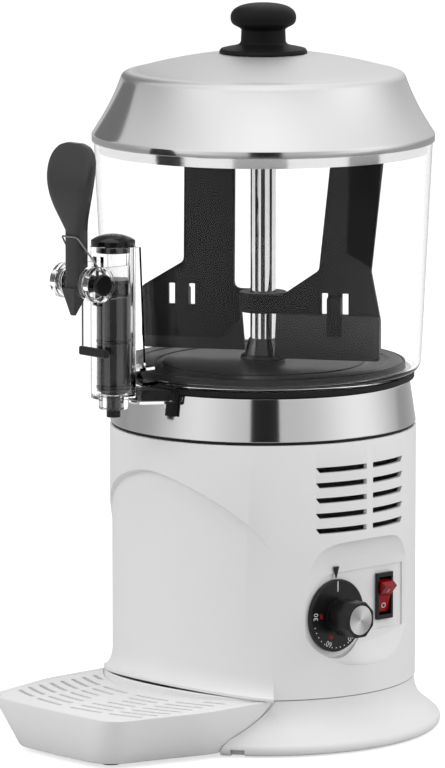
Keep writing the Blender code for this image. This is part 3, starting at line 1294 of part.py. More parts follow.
def paddle_loop(share, width_share):
    """One level slice of the lever's paddle: a flat-backed slab with a soft front."""
    height = mix(PADDLE_FOOT, PADDLE_TOP, share) - PIVOT_Z
    half = PADDLE_HALF_WIDTH * width_share
    front = PADDLE_LEAN * share * share - LEVER_NECK_FRONT - PADDLE_BELLY * math.sin(math.pi * share)
    back = front + mix(PADDLE_THICKNESS, PADDLE_TIP_THICKNESS, share ** 3)
    flat, soft, full = (half * part for part in PADDLE_SIDE_SHARES)
    face, near, edge, far = (mix(front, back, part) for part in PADDLE_DEPTH_SHARES)
    rear = half * PADDLE_BACK_SHARE
    right = [(flat, face), (soft, near), (full, edge), (full, far), (rear, back)]
    left = [(-x, y) for x, y in reversed(right)]
    return [(x, y, height) for x, y in right + left]


def make_lever(pivot):
    """Tap lever about its pivot: hub, neck, paddle, the tongue below and the nose that lifts the piston."""
    lever = rod("tap_lever", LEVER_HUB_RADIUS, -LEVER_HUB_HALF, LEVER_HUB_HALF, SMALL_SIDES, axis="X")
    slices = [paddle_loop(share, width) for share, width in zip(PADDLE_HEIGHT_SHARES, PADDLE_WIDTH_SHARES)]
    half = LEVER_NECK_HALF
    root = [(max(-half, min(half, x)), y, -LEVER_HUB_RADIUS / 2) for x, y, z in slices[0]]
    paddle = loft("paddle", [root] + slices)
    tip = TONGUE_TIP - PIVOT_Z
    top = -LEVER_HUB_RADIUS / 2
    back = LEVER_HUB_RADIUS / 3
    tongue = loft("tongue", [
        [(-TONGUE_TIP_HALF, -TONGUE_TIP_FRONT, tip), (TONGUE_TIP_HALF, -TONGUE_TIP_FRONT, tip),
         (TONGUE_TIP_HALF, -TONGUE_TIP_BACK, tip), (-TONGUE_TIP_HALF, -TONGUE_TIP_BACK, tip)],
        [(-half, -TONGUE_TOP_FRONT, top), (half, -TONGUE_TOP_FRONT, top), (half, back, top),
         (-half, back, top)]])
    nose_y, nose_z = NOSE_Y - PIVOT_Y, NOSE_Z - PIVOT_Z
    nose = moved(rod("nose", NOSE_RADIUS, -NOSE_HALF, NOSE_HALF, SMALL_SIDES, axis="X"), (0, nose_y, nose_z))
    reach = math.hypot(nose_y, nose_z)
    along = Vector((nose_y, nose_z)) / reach
    across = Vector((-along.y, along.x)) * NOSE_RADIUS * NOSE_ARM_SHARE
    tip_point = Vector((nose_y, nose_z))
    arm = prism("arm", [tuple(across), tuple(-across), tuple(tip_point - across), tuple(tip_point + across)],
                GAP - NOSE_HALF, NOSE_HALF - GAP, "X")
    unite(lever, paddle, tongue, arm, nose)
    far = LEVER_HUB_HALF + OVERRUN
    cut(lever, rod("pin hole", PIN_RADIUS + PIN_CLEARANCE, -far, far, axis="X"))
    return place(lever, BLACK, pivot)


def make_piston(axis):
    """Black piston: two ring grooves, and a hook at the top that the lever's nose lifts."""
    groove = PISTON_RADIUS - PISTON_GROOVE_DEPTH
    half = PISTON_GROOVE / 2
    profile = [(0, PISTON_TOP), (PISTON_RADIUS, PISTON_TOP)]
    for level in reversed(PISTON_RING_HEIGHTS):
        profile += [(PISTON_RADIUS, level + half), (groove, level + half), (groove, level - half),
                    (PISTON_RADIUS, level - half)]
    profile += [(PISTON_RADIUS, PISTON_BOTTOM + PISTON_CHAMFER),
                (PISTON_RADIUS - PISTON_CHAMFER, PISTON_BOTTOM), (0, PISTON_BOTTOM)]
    piston = lathe("tap_piston", profile, MIDDLE_SIDES, (0, TAP_Y))
    wide = PISTON_RADIUS + OVERRUN
    cut(piston, block("front", (-wide, TAP_Y - wide, PISTON_SHOULDER),
                      (wide, PISTON_HOOK_FRONT, PISTON_TOP + OVERRUN)))
    pocket_top = NOSE_Z + NOSE_RADIUS + POCKET_CLEARANCE
    cut(piston, block("pocket", (-wide, TAP_Y - wide, PISTON_SHOULDER),
                      (wide, PISTON_POCKET_BACK, pocket_top)))
    place(piston, BLACK, axis, (0, TAP_Y, PISTON_BOTTOM))
    for name, level in zip(("piston_ring_lower", "piston_ring_upper"), PISTON_RING_HEIGHTS):
        middle = groove + PISTON_RING_SECTION + GAP / 2
        section = [(middle + x, level + z) for x, z in arc((0, 0), PISTON_RING_SECTION, 90, -210, 5)]
        ring = lathe(name, section, MIDDLE_SIDES, (0, TAP_Y))
        place(ring, RUBBER, axis, (0, TAP_Y, level))


def spring_side(side):
    """Points of one half of the spring, from the bar up round the coil to the bail over the lever's neck."""
    leg_y = PIVOT_Y + COIL_RADIUS
    points = [(side * COIL_X, leg_y, BAR_TOP + GAP), (side * COIL_X, leg_y, (BAR_TOP + PIVOT_Z) / 2)]
    bail_y = PIVOT_Y - LEVER_NECK_FRONT - WIRE_RADIUS - 2 * GAP
    reach = math.hypot(bail_y - PIVOT_Y, BAIL_Z - PIVOT_Z)
    leave = math.atan2(BAIL_Z - PIVOT_Z, bail_y - PIVOT_Y) - math.acos(COIL_RADIUS / reach)
    sweep = 2 * math.pi + leave
    for step in range(COIL_STEPS + 1):
        angle = sweep * step / COIL_STEPS
        x = side * (COIL_X + COIL_PITCH * angle / (2 * math.pi))
        points.append((x, PIVOT_Y + COIL_RADIUS * math.cos(angle), PIVOT_Z + COIL_RADIUS * math.sin(angle)))
    points.append((side * BAIL_X, bail_y + WIRE_RADIUS, BAIL_Z - WIRE_RADIUS))
    points.append((side * (BAIL_X - 2 * WIRE_RADIUS), bail_y, BAIL_Z))
    return points


def least_gap(route, radius):
    """Least gap between two stretches of a wire that lie apart along it, by the route's own points."""
    points = [Vector(spot) for spot in route]
    along = [0.0]
    for before, after in zip(points, points[1:]):
        along.append(along[-1] + (after - before).length)
    apart = COIL_RADIUS * math.pi
    gaps = [(points[one] - points[two]).length - 2 * radius
            for one in range(len(points)) for two in range(one) if along[one] - along[two] > apart]
    return min(gaps)


def make_return_spring(axis):
    """One bent wire: two legs on the bar, two coils round the pivot and a bail across the lever's neck."""
    route = spring_side(-1) + spring_side(1)[::-1]
    print("return_spring: least gap to itself %.2f mm" % (1000 * least_gap(route, WIRE_RADIUS)))
    curve = bpy.data.curves.new("return_spring", "CURVE")
    curve.dimensions = "3D"
    curve.bevel_depth = WIRE_RADIUS
    curve.bevel_resolution = 1
    curve.use_fill_caps = True
    line = curve.splines.new("POLY")
    line.points.add(len(route) - 1)
    for point, place_on in zip(line.points, route):
        point.co = (*place_on, 1.0)
    spring = bpy.data.objects.new("return_spring", curve)
    spring.parent = axis
    bpy.context.scene.collection.objects.link(spring)
    finish(spring, **STEEL)


def make_lid(axis):
    """Spun steel lid with its inner flange, the black knob and the screw that holds it."""
    wall = LID_WALL
    band_top = LID_BOTTOM + LID_BAND
    neck = (LID_NECK_RADIUS, LID_NECK_Z)
    shoulder = (LID_SHOULDER_RADIUS, LID_SHOULDER_Z)
    crown = (LID_CROWN_RADIUS, LID_CROWN_Z)
    depth = neck[0] - shoulder[0]
    low_pull, low_rise, high_pull, high_rise = LID_SKIRT_SHARES
    skirt = bezier(neck, (neck[0] - depth * low_pull, mix(neck[1], shoulder[1], low_rise)),
                   (shoulder[0] + depth * high_pull, mix(neck[1], shoulder[1], high_rise)), shoulder, 4)
    first_rise, second_pull, second_rise = LID_ROLL_SHARES
    roll = bezier((LID_RADIUS, band_top), (LID_RADIUS, mix(band_top, neck[1], first_rise)),
                  (mix(neck[0], LID_RADIUS, second_pull), mix(band_top, neck[1], second_rise)), neck, 2)
    turn = LID_SHOULDER_ROUND
    first_rise, second_pull, full_rise = LID_SHOULDER_SHARES
    corner_end = (shoulder[0] - turn, shoulder[1] + turn * full_rise)
    corner = bezier(shoulder, (shoulder[0] - wall, shoulder[1] + turn * first_rise),
                    (shoulder[0] - turn * second_pull, corner_end[1] - wall / 2), corner_end, 3)
    middle = ((corner_end[0] + crown[0]) / 2, (corner_end[1] + crown[1]) / 2 + DOME_SAG)
    outer = [(LID_RADIUS, LID_BOTTOM), (LID_RADIUS, band_top)] + roll[1:] + skirt[1:] + corner[1:]
    outer += [middle, crown, (KNOB_SCREW_RADIUS + GAP, LID_CROWN_Z)]
    seat = BOWL_TOP + GAP
    flange = LID_FLANGE_RADIUS
    inner = [(LID_RADIUS - wall, LID_BOTTOM), (LID_RADIUS - wall, seat), (flange, seat),
             (flange, LID_FLANGE_BOTTOM), (flange - wall, LID_FLANGE_BOTTOM), (flange - wall, seat + wall)]
    inward, downward, flat = (wall * part for part in LID_SLOPED_WALL_SHARES)
    upper = [(x - inward, z - downward) for x, z in skirt[1:]]
    upper += [(x, z - flat) for x, z in (corner_end, middle, crown, outer[-1])]
    place(lathe("lid_shell", outer[::-1] + inner + upper, BIG_SIDES), STEEL, axis)

    make_knob(axis)
    head = LID_CROWN_Z - flat - GAP
    top = LID_CROWN_Z + KNOB_SCREW_DEPTH
    profile = [(0, top), (KNOB_SCREW_RADIUS, top), (KNOB_SCREW_RADIUS, head), (KNOB_SCREW_HEAD, head),
               (KNOB_SCREW_HEAD, head - KNOB_SCREW_HEAD_HEIGHT), (0, head - KNOB_SCREW_HEAD_HEIGHT)]
    place(lathe("knob_screw", profile, SMALL_SIDES), STEEL, axis)


def make_knob(axis):
    """Black knob of the lid: a wide flange, a waist and a domed cap, bored for its screw."""
    base = LID_CROWN_Z + GAP
    rim = KNOB_FLANGE_RADIUS
    slope_top = base + KNOB_FLANGE_RISE
    cap = (KNOB_CAP_RADIUS, KNOB_CAP_Z)
    neck = (KNOB_NECK_RADIUS, KNOB_NECK_Z)
    crown, brow, cheek, throat, hollow = KNOB_SHARES
    top = bezier((0, KNOB_TOP), (cap[0] * crown, KNOB_TOP), (cap[0], mix(cap[1], KNOB_TOP, brow)), cap, 4)
    under = bezier(cap, (cap[0], mix(cap[1], neck[1], cheek)),
                   (mix(neck[0], cap[0], throat), mix(cap[1], neck[1], hollow)), neck, 3)
    foot = bezier(neck, (neck[0], slope_top), (mix(neck[0], rim, hollow), slope_top),
                  (rim - KNOB_FLANGE_RIM / 2, base + KNOB_FLANGE_RIM), 3)
    bore = KNOB_SCREW_RADIUS + GAP
    ceiling = LID_CROWN_Z + KNOB_SCREW_DEPTH + GAP
    profile = top + under[1:] + foot[1:] + [(rim, base + KNOB_FLANGE_RIM / 2), (rim, base), (bore, base),
                                            (bore, ceiling), (0, ceiling)]
    place(lathe("lid_knob", profile, MIDDLE_SIDES), BLACK, axis)


def make_controls(axis):
    """Thermostat with its dial, the pointer on the panel, the switch and its rocker, and the cable gland."""
    floor = PANEL_X - POCKET_DEPTH
    dial_axis = empty("dial_axis", (0, DIAL_Y, DIAL_Z), axis)
    back = floor + DIAL_STAND_OFF
    skirt = back + DIAL_SKIRT
    neck = skirt + DIAL_NECK_LENGTH
    disc = lathe("dial", [(0, neck + GAP), (DIAL_NECK_RADIUS, neck + GAP), (DIAL_NECK_RADIUS, skirt),
                          (DIAL_RADIUS - DIAL_SKIRT / 4, skirt), (DIAL_RADIUS, skirt - DIAL_SKIRT / 4),
                          (DIAL_RADIUS, back), (0, back)], MIDDLE_SIDES + 8, axis="X")
    corner = 360 / GRIP_SIDES
    octagon = arc((0, 0), GRIP_RADIUS, corner / 2, corner / 2 + 360 - corner, GRIP_SIDES - 1)
    small = 1 - GRIP_CHAMFER / GRIP_RADIUS
    grip = loft("grip", [
        [(neck, y * small, z * small) for y, z in octagon],
        [(neck + GRIP_CHAMFER, y, z) for y, z in octagon],
        [(GRIP_FACE_X - GRIP_CHAMFER, y, z) for y, z in octagon],
        [(GRIP_FACE_X, y * small, z * small) for y, z in octagon]])
    unite(disc, grip)
    cut(disc, rod("insert seat", INSERT_RADIUS + GAP, GRIP_FACE_X - INSERT_DEPTH - GAP, GRIP_FACE_X + OVERRUN,
                  MIDDLE_SIDES, axis="X"))
    top = floor + SPINDLE_LENGTH + GAP
    cut(disc, rod("spindle bore", SPINDLE_RADIUS + GAP, back - OVERRUN, top, axis="X"))
    place(disc, BLACK, dial_axis)
    seat = GRIP_FACE_X - INSERT_DEPTH
    place(rod("dial_insert", INSERT_RADIUS, seat, GRIP_FACE_X, MIDDLE_SIDES, axis="X"), STEEL, dial_axis)

    inside = floor - BODY_WALL
    depth, width, height = THERMOSTAT_SIZE
    thermostat = block("thermostat", (inside - GAP - depth, DIAL_Y - width / 2, DIAL_Z - height / 2),
                       (inside - GAP, DIAL_Y + width / 2, DIAL_Z + height / 2))
    spindle = rod("spindle", SPINDLE_RADIUS, inside - depth / 2, floor + SPINDLE_LENGTH, axis="X")
    unite(thermostat, moved(spindle, (0, DIAL_Y, DIAL_Z)))
    place(thermostat, DARK, axis)

    tip = DIAL_Z + DIAL_RADIUS + SEAM
    half = POINTER_WIDTH / 2
    outline = [(DIAL_Y, tip), (DIAL_Y - half, tip + POINTER_LENGTH), (DIAL_Y + half, tip + POINTER_LENGTH)]
    base = PANEL_X + GAP
    pointer = prism("panel_pointer", outline, base, base + POINTER_THICKNESS, "X")
    place(pointer, BLACK, axis)

    make_switch(axis, floor)
    make_gland(axis)


def make_switch(axis, floor):
    """Black switch housing through the panel, and the red rocker on its pivot."""
    half_y, half_z = SWITCH_WIDTH / 2, SWITCH_HEIGHT / 2
    back = floor + GAP
    face = back + SWITCH_COLLAR + SWITCH_FRAME
    inner_y, inner_z = half_y - SWITCH_FRAME, half_z - SWITCH_FRAME
    housing = block("switch_housing", (back, SWITCH_Y - half_y, SWITCH_Z - half_z),
                    (face, SWITCH_Y + half_y, SWITCH_Z + half_z))
    body = block("body", (floor - SWITCH_DEPTH, SWITCH_Y - inner_y, SWITCH_Z - inner_z),
                 (back + SWITCH_COLLAR, SWITCH_Y + inner_y, SWITCH_Z + inner_z))
    unite(housing, body)
    room_y = ROCKER_WIDTH / 2 + GAP
    room = ROCKER_REACH + GAP
    pivot_x = face - ROCKER_PIVOT_DEPTH
    mouth = [(pivot_x, SWITCH_Z - room), (face + OVERRUN, SWITCH_Z - room),
             (face + OVERRUN, SWITCH_Z + room), (pivot_x, SWITCH_Z + room)]
    bed = [(pivot_x - x, SWITCH_Z + z) for z, x in arc((0, 0), room, 10, 170, 10)]
    well = prism("well", mouth + bed, SWITCH_Y - room_y, SWITCH_Y + room_y, "Y")
    cut(housing, well)
    place(housing, BLACK, axis)

    rocker_axis = empty("rocker_axis", (pivot_x, SWITCH_Y, SWITCH_Z), axis)
    lip = ROCKER_PIVOT_DEPTH + ROCKER_LIP
    middle, high, brow, top, sunk, low = ROCKER_FACE_SHARES
    flat = ROCKER_PIVOT_DEPTH * middle
    reach = ROCKER_REACH
    outline = [(flat, 0), (lip, reach * high), (lip * brow, reach * top)]
    outline += [(-reach * math.sin(angle), reach * math.cos(angle))
                for angle in [math.radians(value) for value in (20, 50, 90, 130, 160)]]
    outline += [(flat * sunk, -reach * low)]
    rocker = prism("switch_rocker", outline, -ROCKER_WIDTH / 2, ROCKER_WIDTH / 2, "Y")
    place(rocker, dict(colour=(0.62, 0.02, 0.02), roughness=0.25), rocker_axis)


def make_gland(axis):
    """Gland in the housing's back wall where the mains lead would go in."""
    inside = BODY_RADIUS - 2 * BODY_WALL
    flange = BODY_RADIUS + GAP
    outer = flange + GLAND_FLANGE
    profile = [
        (GLAND_BORE, outer + GLAND_REACH), (GLAND_NOSE_RADIUS, outer + GLAND_REACH), (GLAND_RADIUS, outer),
        (GLAND_FLANGE_RADIUS, outer), (GLAND_FLANGE_RADIUS, flange), (GLAND_RADIUS, flange),
        (GLAND_RADIUS, inside), (GLAND_BORE, inside)]
    gland = lathe("cable_gland", profile, SMALL_SIDES, axis="X")
    turned(gland, 90)
    place(moved(gland, (0, 0, GLAND_Z)), BLACK, axis)


def tray_lip():
    """Raised lip on the tray's rear rim, arched like the housing's lower front edge."""
    near = TRAY_BACK_RADIUS + TRAY_LIP_INSET
    far = near + TRAY_LIP_THICKNESS
    edge = math.degrees(math.asin(TRAY_TOP_HALVES[0] / far)) - 1
    loops = []
    for step in range(13):
        angle = mix(-edge, edge, step / 12)
        side = abs(polar(near, angle)[0]) / ARCH_HALF_WIDTH
        top = TRAY_TOP + TRAY_LIP_RISE * (1 - side * side)
        inner, outer = polar(near, angle), polar(far, angle)
        low = TRAY_TOP - TRAY_WALL / 2
        loops.append([(*inner, low), (*outer, low), (*outer, top), (*inner, top)])
    return loft("lip", loops)


def make_tray(axis):
    """White drip tray with a rim that seats the grille, a lip at the back and pads underneath."""
    tray = tray_solid("drip_tray", TRAY_BOTTOM, TRAY_TOP, 0)
    seat = TRAY_TOP - GRILLE_THICKNESS - GRILLE_DROP - GAP
    floor = TRAY_BOTTOM + TRAY_WALL
    cut(tray, tray_solid("seat", seat, TRAY_TOP + OVERRUN, -TRAY_RIM))
    cut(tray, tray_solid("hollow", floor, seat + OVERRUN / 2, -TRAY_RIM - TRAY_LEDGE))
    unite(tray, tray_lip())
    place(tray, WHITE, axis)
    for name, spot in zip(("tray_pad_left", "tray_pad_right"), TRAY_PAD_PLACES):
        pad = rod(name, TRAY_PAD_RADIUS, 0, TRAY_BOTTOM - GAP, 16, spot)
        place(pad, RUBBER, axis, (*spot, 0))


def slot_cutter(x, row_y):
    """One curved slot of the grille, on an arc round a centre far behind the row."""
    half = SLOT_LENGTH / 2
    centre_y = row_y + SLOT_ARC_RADIUS
    steps = 3
    angles = [math.asin(mix(x - half, x + half, step / steps) / SLOT_ARC_RADIUS) for step in range(steps + 1)]
    front, back = SLOT_ARC_RADIUS + SLOT_WIDTH / 2, SLOT_ARC_RADIUS - SLOT_WIDTH / 2
    outline = [(front * math.sin(angle), centre_y - front * math.cos(angle)) for angle in angles]
    outline += [(back * math.sin(angle), centre_y - back * math.cos(angle)) for angle in reversed(angles)]
    return outline


def inside_outline(point, outline, margin):
    """Whether a point lies inside an outline, at least a margin from its edge."""
    inside = False
    nearest = FOOT_RADIUS
    spot = Vector(point)
    for here, start in enumerate(outline):
        end = outline[(here + 1) % len(outline)]
        if (start[1] > point[1]) != (end[1] > point[1]):
            crossing = start[0] + (end[0] - start[0]) * (point[1] - start[1]) / (end[1] - start[1])
            if point[0] < crossing:
                inside = not inside
        along = Vector(end) - Vector(start)
        share = max(0, min(1, (spot - Vector(start)).dot(along) / max(along.length_squared, GAP * GAP)))
        nearest = min(nearest, (spot - Vector(start) - along * share).length)
    return inside and nearest >= margin


def make_grille(axis):
    """White grille in the tray's rim: rows of curved slots round a plain boss."""
    top = TRAY_TOP - GRILLE_DROP
    grille = tray_solid("drip_grille", top - GRILLE_THICKNESS, top, -TRAY_RIM - GAP)
    edge = [(x, y) for x, y, z in tray_loop(1, -TRAY_RIM - GAP)]
    boss = (0, BOSS_INSET - TRAY_REACH)
    for row in range(SLOT_ROWS):
        row_y = SLOT_FIRST_INSET - TRAY_REACH - row * SLOT_PITCH
        for x in SLOT_COLUMNS:
            outline = slot_cutter(x, row_y)
            clear = all(inside_outline(point, edge, SLOT_MARGIN) for point in outline)
            away = all(math.dist(point, boss) > BOSS_RADIUS for point in outline)
            if clear and away:
                cut(grille, prism("slot", outline, top - GRILLE_THICKNESS - OVERRUN, top + OVERRUN))
    return place(grille, WHITE, axis)


def main():
    """Build every piece about the machine's axis."""
    clear_scene()
    axis = empty("machine_axis", (0, AXIS_Y, 0))
    pivot = empty("lever_axis", (0, PIVOT_Y, PIVOT_Z), axis)
    make_foot(axis)
    make_base_plate(axis)
    make_housing(axis)
    make_heating_section(axis)
    make_seal(axis)
    make_column(axis)
    make_drive(axis)
    make_stirrer(axis)
    make_bowl(axis)
    make_tap_body(axis)
    make_tap_parts(axis, pivot)
    make_lid(axis)
    make_controls(axis)
    make_tray(axis)
    make_grille(axis)


main()
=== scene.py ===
# %% [markdown]
# # Hot chocolate dispenser
# A countertop machine: flared white foot, white housing with a hollowed control panel, brushed steel ring,
# clear bowl with a moulded tap, two-armed stirrer, spun steel lid and a slotted drip tray. All lengths below
# are millimetres, counted from the machine's upright axis, with the tap towards -Y and the controls at +X.

import math

import bmesh
import bpy
import numpy as np
from mathutils import Matrix, Vector


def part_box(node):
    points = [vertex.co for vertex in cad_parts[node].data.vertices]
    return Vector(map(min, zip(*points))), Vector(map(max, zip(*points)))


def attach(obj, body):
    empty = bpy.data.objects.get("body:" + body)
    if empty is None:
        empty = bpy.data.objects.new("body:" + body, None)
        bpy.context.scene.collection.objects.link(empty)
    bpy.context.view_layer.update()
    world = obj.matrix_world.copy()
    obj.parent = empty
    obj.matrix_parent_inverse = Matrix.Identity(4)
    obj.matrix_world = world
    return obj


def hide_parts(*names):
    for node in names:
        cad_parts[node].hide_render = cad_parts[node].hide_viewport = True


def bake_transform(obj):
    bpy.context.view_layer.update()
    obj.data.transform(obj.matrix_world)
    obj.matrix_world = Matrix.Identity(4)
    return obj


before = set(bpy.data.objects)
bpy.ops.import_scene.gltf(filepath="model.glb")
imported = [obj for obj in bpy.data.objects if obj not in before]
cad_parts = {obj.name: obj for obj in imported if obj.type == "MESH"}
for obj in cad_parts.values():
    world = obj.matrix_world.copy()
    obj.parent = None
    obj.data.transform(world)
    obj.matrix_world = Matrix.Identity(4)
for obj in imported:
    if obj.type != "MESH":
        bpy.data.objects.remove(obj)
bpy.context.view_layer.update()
low_corner, high_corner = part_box("column_tube")
AXIS = Vector(((low_corner.x + high_corner.x) / 2, (low_corner.y + high_corner.y) / 2, 0))
MM = 0.001
SIDES = 192
print("axis at", tuple(round(value, 5) for value in AXIS))

# %% Places that several pieces share
HOUSING = 98
DECK = 196
TAP = (0, -127, 0)
PIVOT = (0, -152.6, 300)
DIAL = (0, -19.3, 85)
SWITCH = (23, 92.5)
GLAND = (0, 0, 50)

# %% [markdown]
# ## Curves and outlines
# Turned and moulded pieces are drawn by a few corners each. Real edges are never sharp, so `soften` rounds
# the corners of an outline, and `curve` gives the long smooth runs such as the lid's skirt.

# %% Curves
def curve(start, first, second, end, steps=16):
    """Cubic curve: (1-t)^3 start + 3t(1-t)^2 first + 3t^2(1-t) second + t^3 end."""
    t = np.linspace(0, 1, steps + 1)[:, None]
    start, first, second, end = (np.asarray(point, float) for point in (start, first, second, end))
    return ((1 - t) ** 3 * start + 3 * t * (1 - t) ** 2 * first + 3 * t ** 2 * (1 - t) * second
            + t ** 3 * end)


def arc(centre, radius, start, end, steps=24):
    """Points centre + radius (cos a, sin a) with a from start to end in degrees."""
    a = np.radians(np.linspace(start, end, steps + 1))
    return np.asarray(centre, float) + radius * np.stack([np.cos(a), np.sin(a)], 1)


def soften(outline, radius, closed=True, steps=4, least_turn=14, only=None):
    """Replace the corners that turn more than least_turn degrees, or only those named, by parabolas.

    A corner takes at most 0.45 of an edge, and a point just past it keeps the flat beside it flat.
    """
    points = np.asarray(outline, float)
    before, after = np.roll(points, 1, 0) - points, np.roll(points, -1, 0) - points
    back, ahead = (np.maximum(np.linalg.norm(way, axis=1), 1e-9) for way in (before, after))
    turn = np.degrees(np.arccos(np.clip(-(before * after).sum(1) / back / ahead, -1, 1)))
    soft = turn > least_turn if only is None else np.isin(np.arange(len(points)), only)
    if not closed:
        soft[[0, -1]] = False
    reach = np.minimum(np.broadcast_to(radius, len(points)), 0.45 * np.minimum(back, ahead)) * soft
    first = points + before / back[:, None] * reach[:, None]
    last = points + after / ahead[:, None] * reach[:, None]
    t = np.linspace(0, 1, steps + 1)[None, :, None]
    run = (1 - t) ** 2 * first[:, None] + 2 * t * (1 - t) * points[:, None] + t ** 2 * last[:, None]
    hold = [points + way / size[:, None] * np.minimum(reach * 1.2 + 0.2, 0.48 * size)[:, None]
            for way, size in ((before, back), (after, ahead))]
    run = np.concatenate([hold[0][:, None], run, hold[1][:, None]], 1)
    run[~soft, 0] = points[~soft]
    keep = np.ones(run.shape[:2], bool)
    keep[~soft, 1:] = False
    return run[keep]


def polar(radius, angle):
    """Place on plan at an angle in degrees from the front towards +X."""
    spin = np.radians(angle)
    return np.stack([radius * np.sin(spin), -radius * np.cos(spin)], -1)


def mix(low, high, share):
    """Value a share of the way from low to high; the share may be a wire in a material."""
    return low + (high - low) * share


# %% [markdown]
# ## Surfaces
# Every surface is a grid of points, rows by columns, joined by four-sided faces. `piece` makes it a mesh,
# closes seams and poles by merging, turns the faces outwards and marks the edges that really are crisp.

# %% Surfaces
ORDER = {"Z": [0, 1, 2], "X": [2, 0, 1], "Y": [1, 2, 0]}


def in_scene(name, data):
    """New object of the scene about a mesh, a lettering, a lamp or a lens."""
    made = bpy.data.objects.new(name, data)
    bpy.context.scene.collection.objects.link(made)
    return made


def grid_faces(rows, columns, wrap_rows=False, wrap_columns=True):
    """Corner numbers of the faces of a grid whose point numbers run along the columns first."""
    r = np.arange(rows if wrap_rows else rows - 1)[:, None]
    c = np.arange(columns if wrap_columns else columns - 1)[None, :]
    up, side = (r + 1) % rows, (c + 1) % columns
    corners = [r * columns + c, r * columns + side, up * columns + side, up * columns + c]
    return np.stack(np.broadcast_arrays(*corners), -1).reshape(-1, 4)


def finish_mesh(mesh, angle=32, melt=None):
    """Merge coincident points, drop empty faces, face outwards, smooth with crisp edges.

    Where melt is given, faces that meet at less than that angle become one.
    """
    shape = bmesh.new()
    shape.from_mesh(mesh)
    if melt is not None:
        bmesh.ops.remove_doubles(shape, verts=shape.verts, dist=1e-6)
        bmesh.ops.dissolve_limit(shape, angle_limit=math.radians(melt), verts=shape.verts, edges=shape.edges)
    bmesh.ops.remove_doubles(shape, verts=shape.verts, dist=2e-6)
    bmesh.ops.dissolve_degenerate(shape, edges=shape.edges, dist=1e-7)
    bmesh.ops.recalc_face_normals(shape, faces=shape.faces)
    shape.to_mesh(mesh)
    shape.free()
    mesh.shade_smooth()
    mesh.set_sharp_from_angle(angle=math.radians(angle))


def piece(name, points, faces, angle=32):
    """Object from points in millimetres about the machine's axis and their faces."""
    places = np.asarray(points, float).reshape(-1, 3) * MM + np.array(AXIS)
    mesh = bpy.data.meshes.new(name)
    mesh.from_pydata(places.tolist(), [], [list(map(int, face)) for face in faces])
    finish_mesh(mesh, angle)
    return in_scene(name, mesh)


def lathe(name, profile, soft=None, sides=SIDES, centre=(0, 0, 0), along="Z", angle=32, **corners):
    """Turn (radius, height) points about an axis through centre: x = r sin a, y = -r cos a, z = h.

    A profile that starts on the axis is closed by it, and any other is closed on itself.
    """
    closed = profile[0][0] > 0
    if soft is not None:
        profile = soften(profile, soft, closed, **corners)
    radius, height = np.asarray(profile, float).T
    spin = np.linspace(0, 2 * np.pi, sides, endpoint=False)
    ring = np.stack([np.outer(radius, np.sin(spin)), -np.outer(radius, np.cos(spin)),
                     np.repeat(height[:, None], sides, 1)], -1)[..., ORDER[along]]
    return piece(name, ring + np.asarray(centre, float), grid_faces(len(radius), sides, closed), angle)


def rod(name, radius, low, high, sides, centre, along, soft=None):
    """Round bar between two levels of its axis, with rounded ends where soft is given."""
    return lathe(name, [(0, low), (radius, low), (radius, high), (0, high)], soft, sides, centre, along)


def loft(name, loops, angle=32):
    """Skin over closed loops of equally many points, capped at both ends."""
    loops = np.asarray(loops, float)
    rows, columns = loops.shape[:2]
    ends = [list(range(columns)), list(range((rows - 1) * columns, rows * columns))]
    return piece(name, loops, grid_faces(rows, columns).tolist() + ends, angle)


def prism(name, outline, low, high, along="Z", angle=32):
    """Straight piece over an outline, between two levels of the axis it runs along."""
    outline = np.asarray(outline, float)
    flat = [np.column_stack([outline, np.full(len(outline), float(level))])[:, ORDER[along]]
            for level in (low, high)]
    return loft(name, flat, angle=angle)


def block(name, low, high):
    """Box between two corners."""
    (x0, y0, z0), (x1, y1, z1) = low, high
    return prism(name, [(x0, y0), (x1, y0), (x1, y1), (x0, y1)], z0, z1)


# %% Work on a piece
def final_mesh(made):
    """Mesh of an object as its modifiers or its lettering give it."""
    graph = bpy.context.evaluated_depsgraph_get()
    return bpy.data.meshes.new_from_object(made.evaluated_get(graph))


def combine(made, others, operation="DIFFERENCE", angle=32):
    """Cut other solids out of a piece, or join them to it, and use them up."""
    for other in others:
        step = made.modifiers.new(operation, "BOOLEAN")
        step.operation = operation
        step.solver = "EXACT"
        step.object = other
        mesh = final_mesh(made)
        made.modifiers.clear()
        made.data = mesh
        bpy.data.objects.remove(other)
    finish_mesh(made.data, angle)
    return made


def joined(name, parts):
    """Several separate solids as one mesh."""
    shape = bmesh.new()
    for part in parts:
        shape.from_mesh(part.data)
        bpy.data.objects.remove(part)
    mesh = bpy.data.meshes.new(name)
    shape.to_mesh(mesh)
    shape.free()
    return in_scene(name, mesh)


def edged(made, width, angle=30):
    """Break the crisp edges with a small bevel whose flat sides stay flat."""
    bevel = made.modifiers.new("edge", "BEVEL")
    bevel.width = width * MM
    bevel.segments = 2
    bevel.limit_method = "ANGLE"
    bevel.angle_limit = math.radians(angle)
    bevel.harden_normals = True
    bevel.use_clamp_overlap = True
    made.data.shade_smooth()
    return made


def moved(made, offset, turn):
    """Turn a mesh about the machine's axis and then shift it, both in its own points."""
    centre = Matrix.Translation(AXIS)
    spin = Matrix.Rotation(math.radians(turn), 4, "Z")
    made.data.transform(Matrix.Translation(Vector(offset) * MM) @ centre @ spin @ centre.inverted())
    return made


def copy_of(node, angle=30, melt=0.5):
    """Merged copy of a carried-over node with its flat areas joined into single faces."""
    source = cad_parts[node]
    mesh = source.data.copy()
    mesh.materials.clear()
    mesh.transform(source.matrix_world)
    finish_mesh(mesh, angle, melt)
    return in_scene("fine_" + node, mesh)


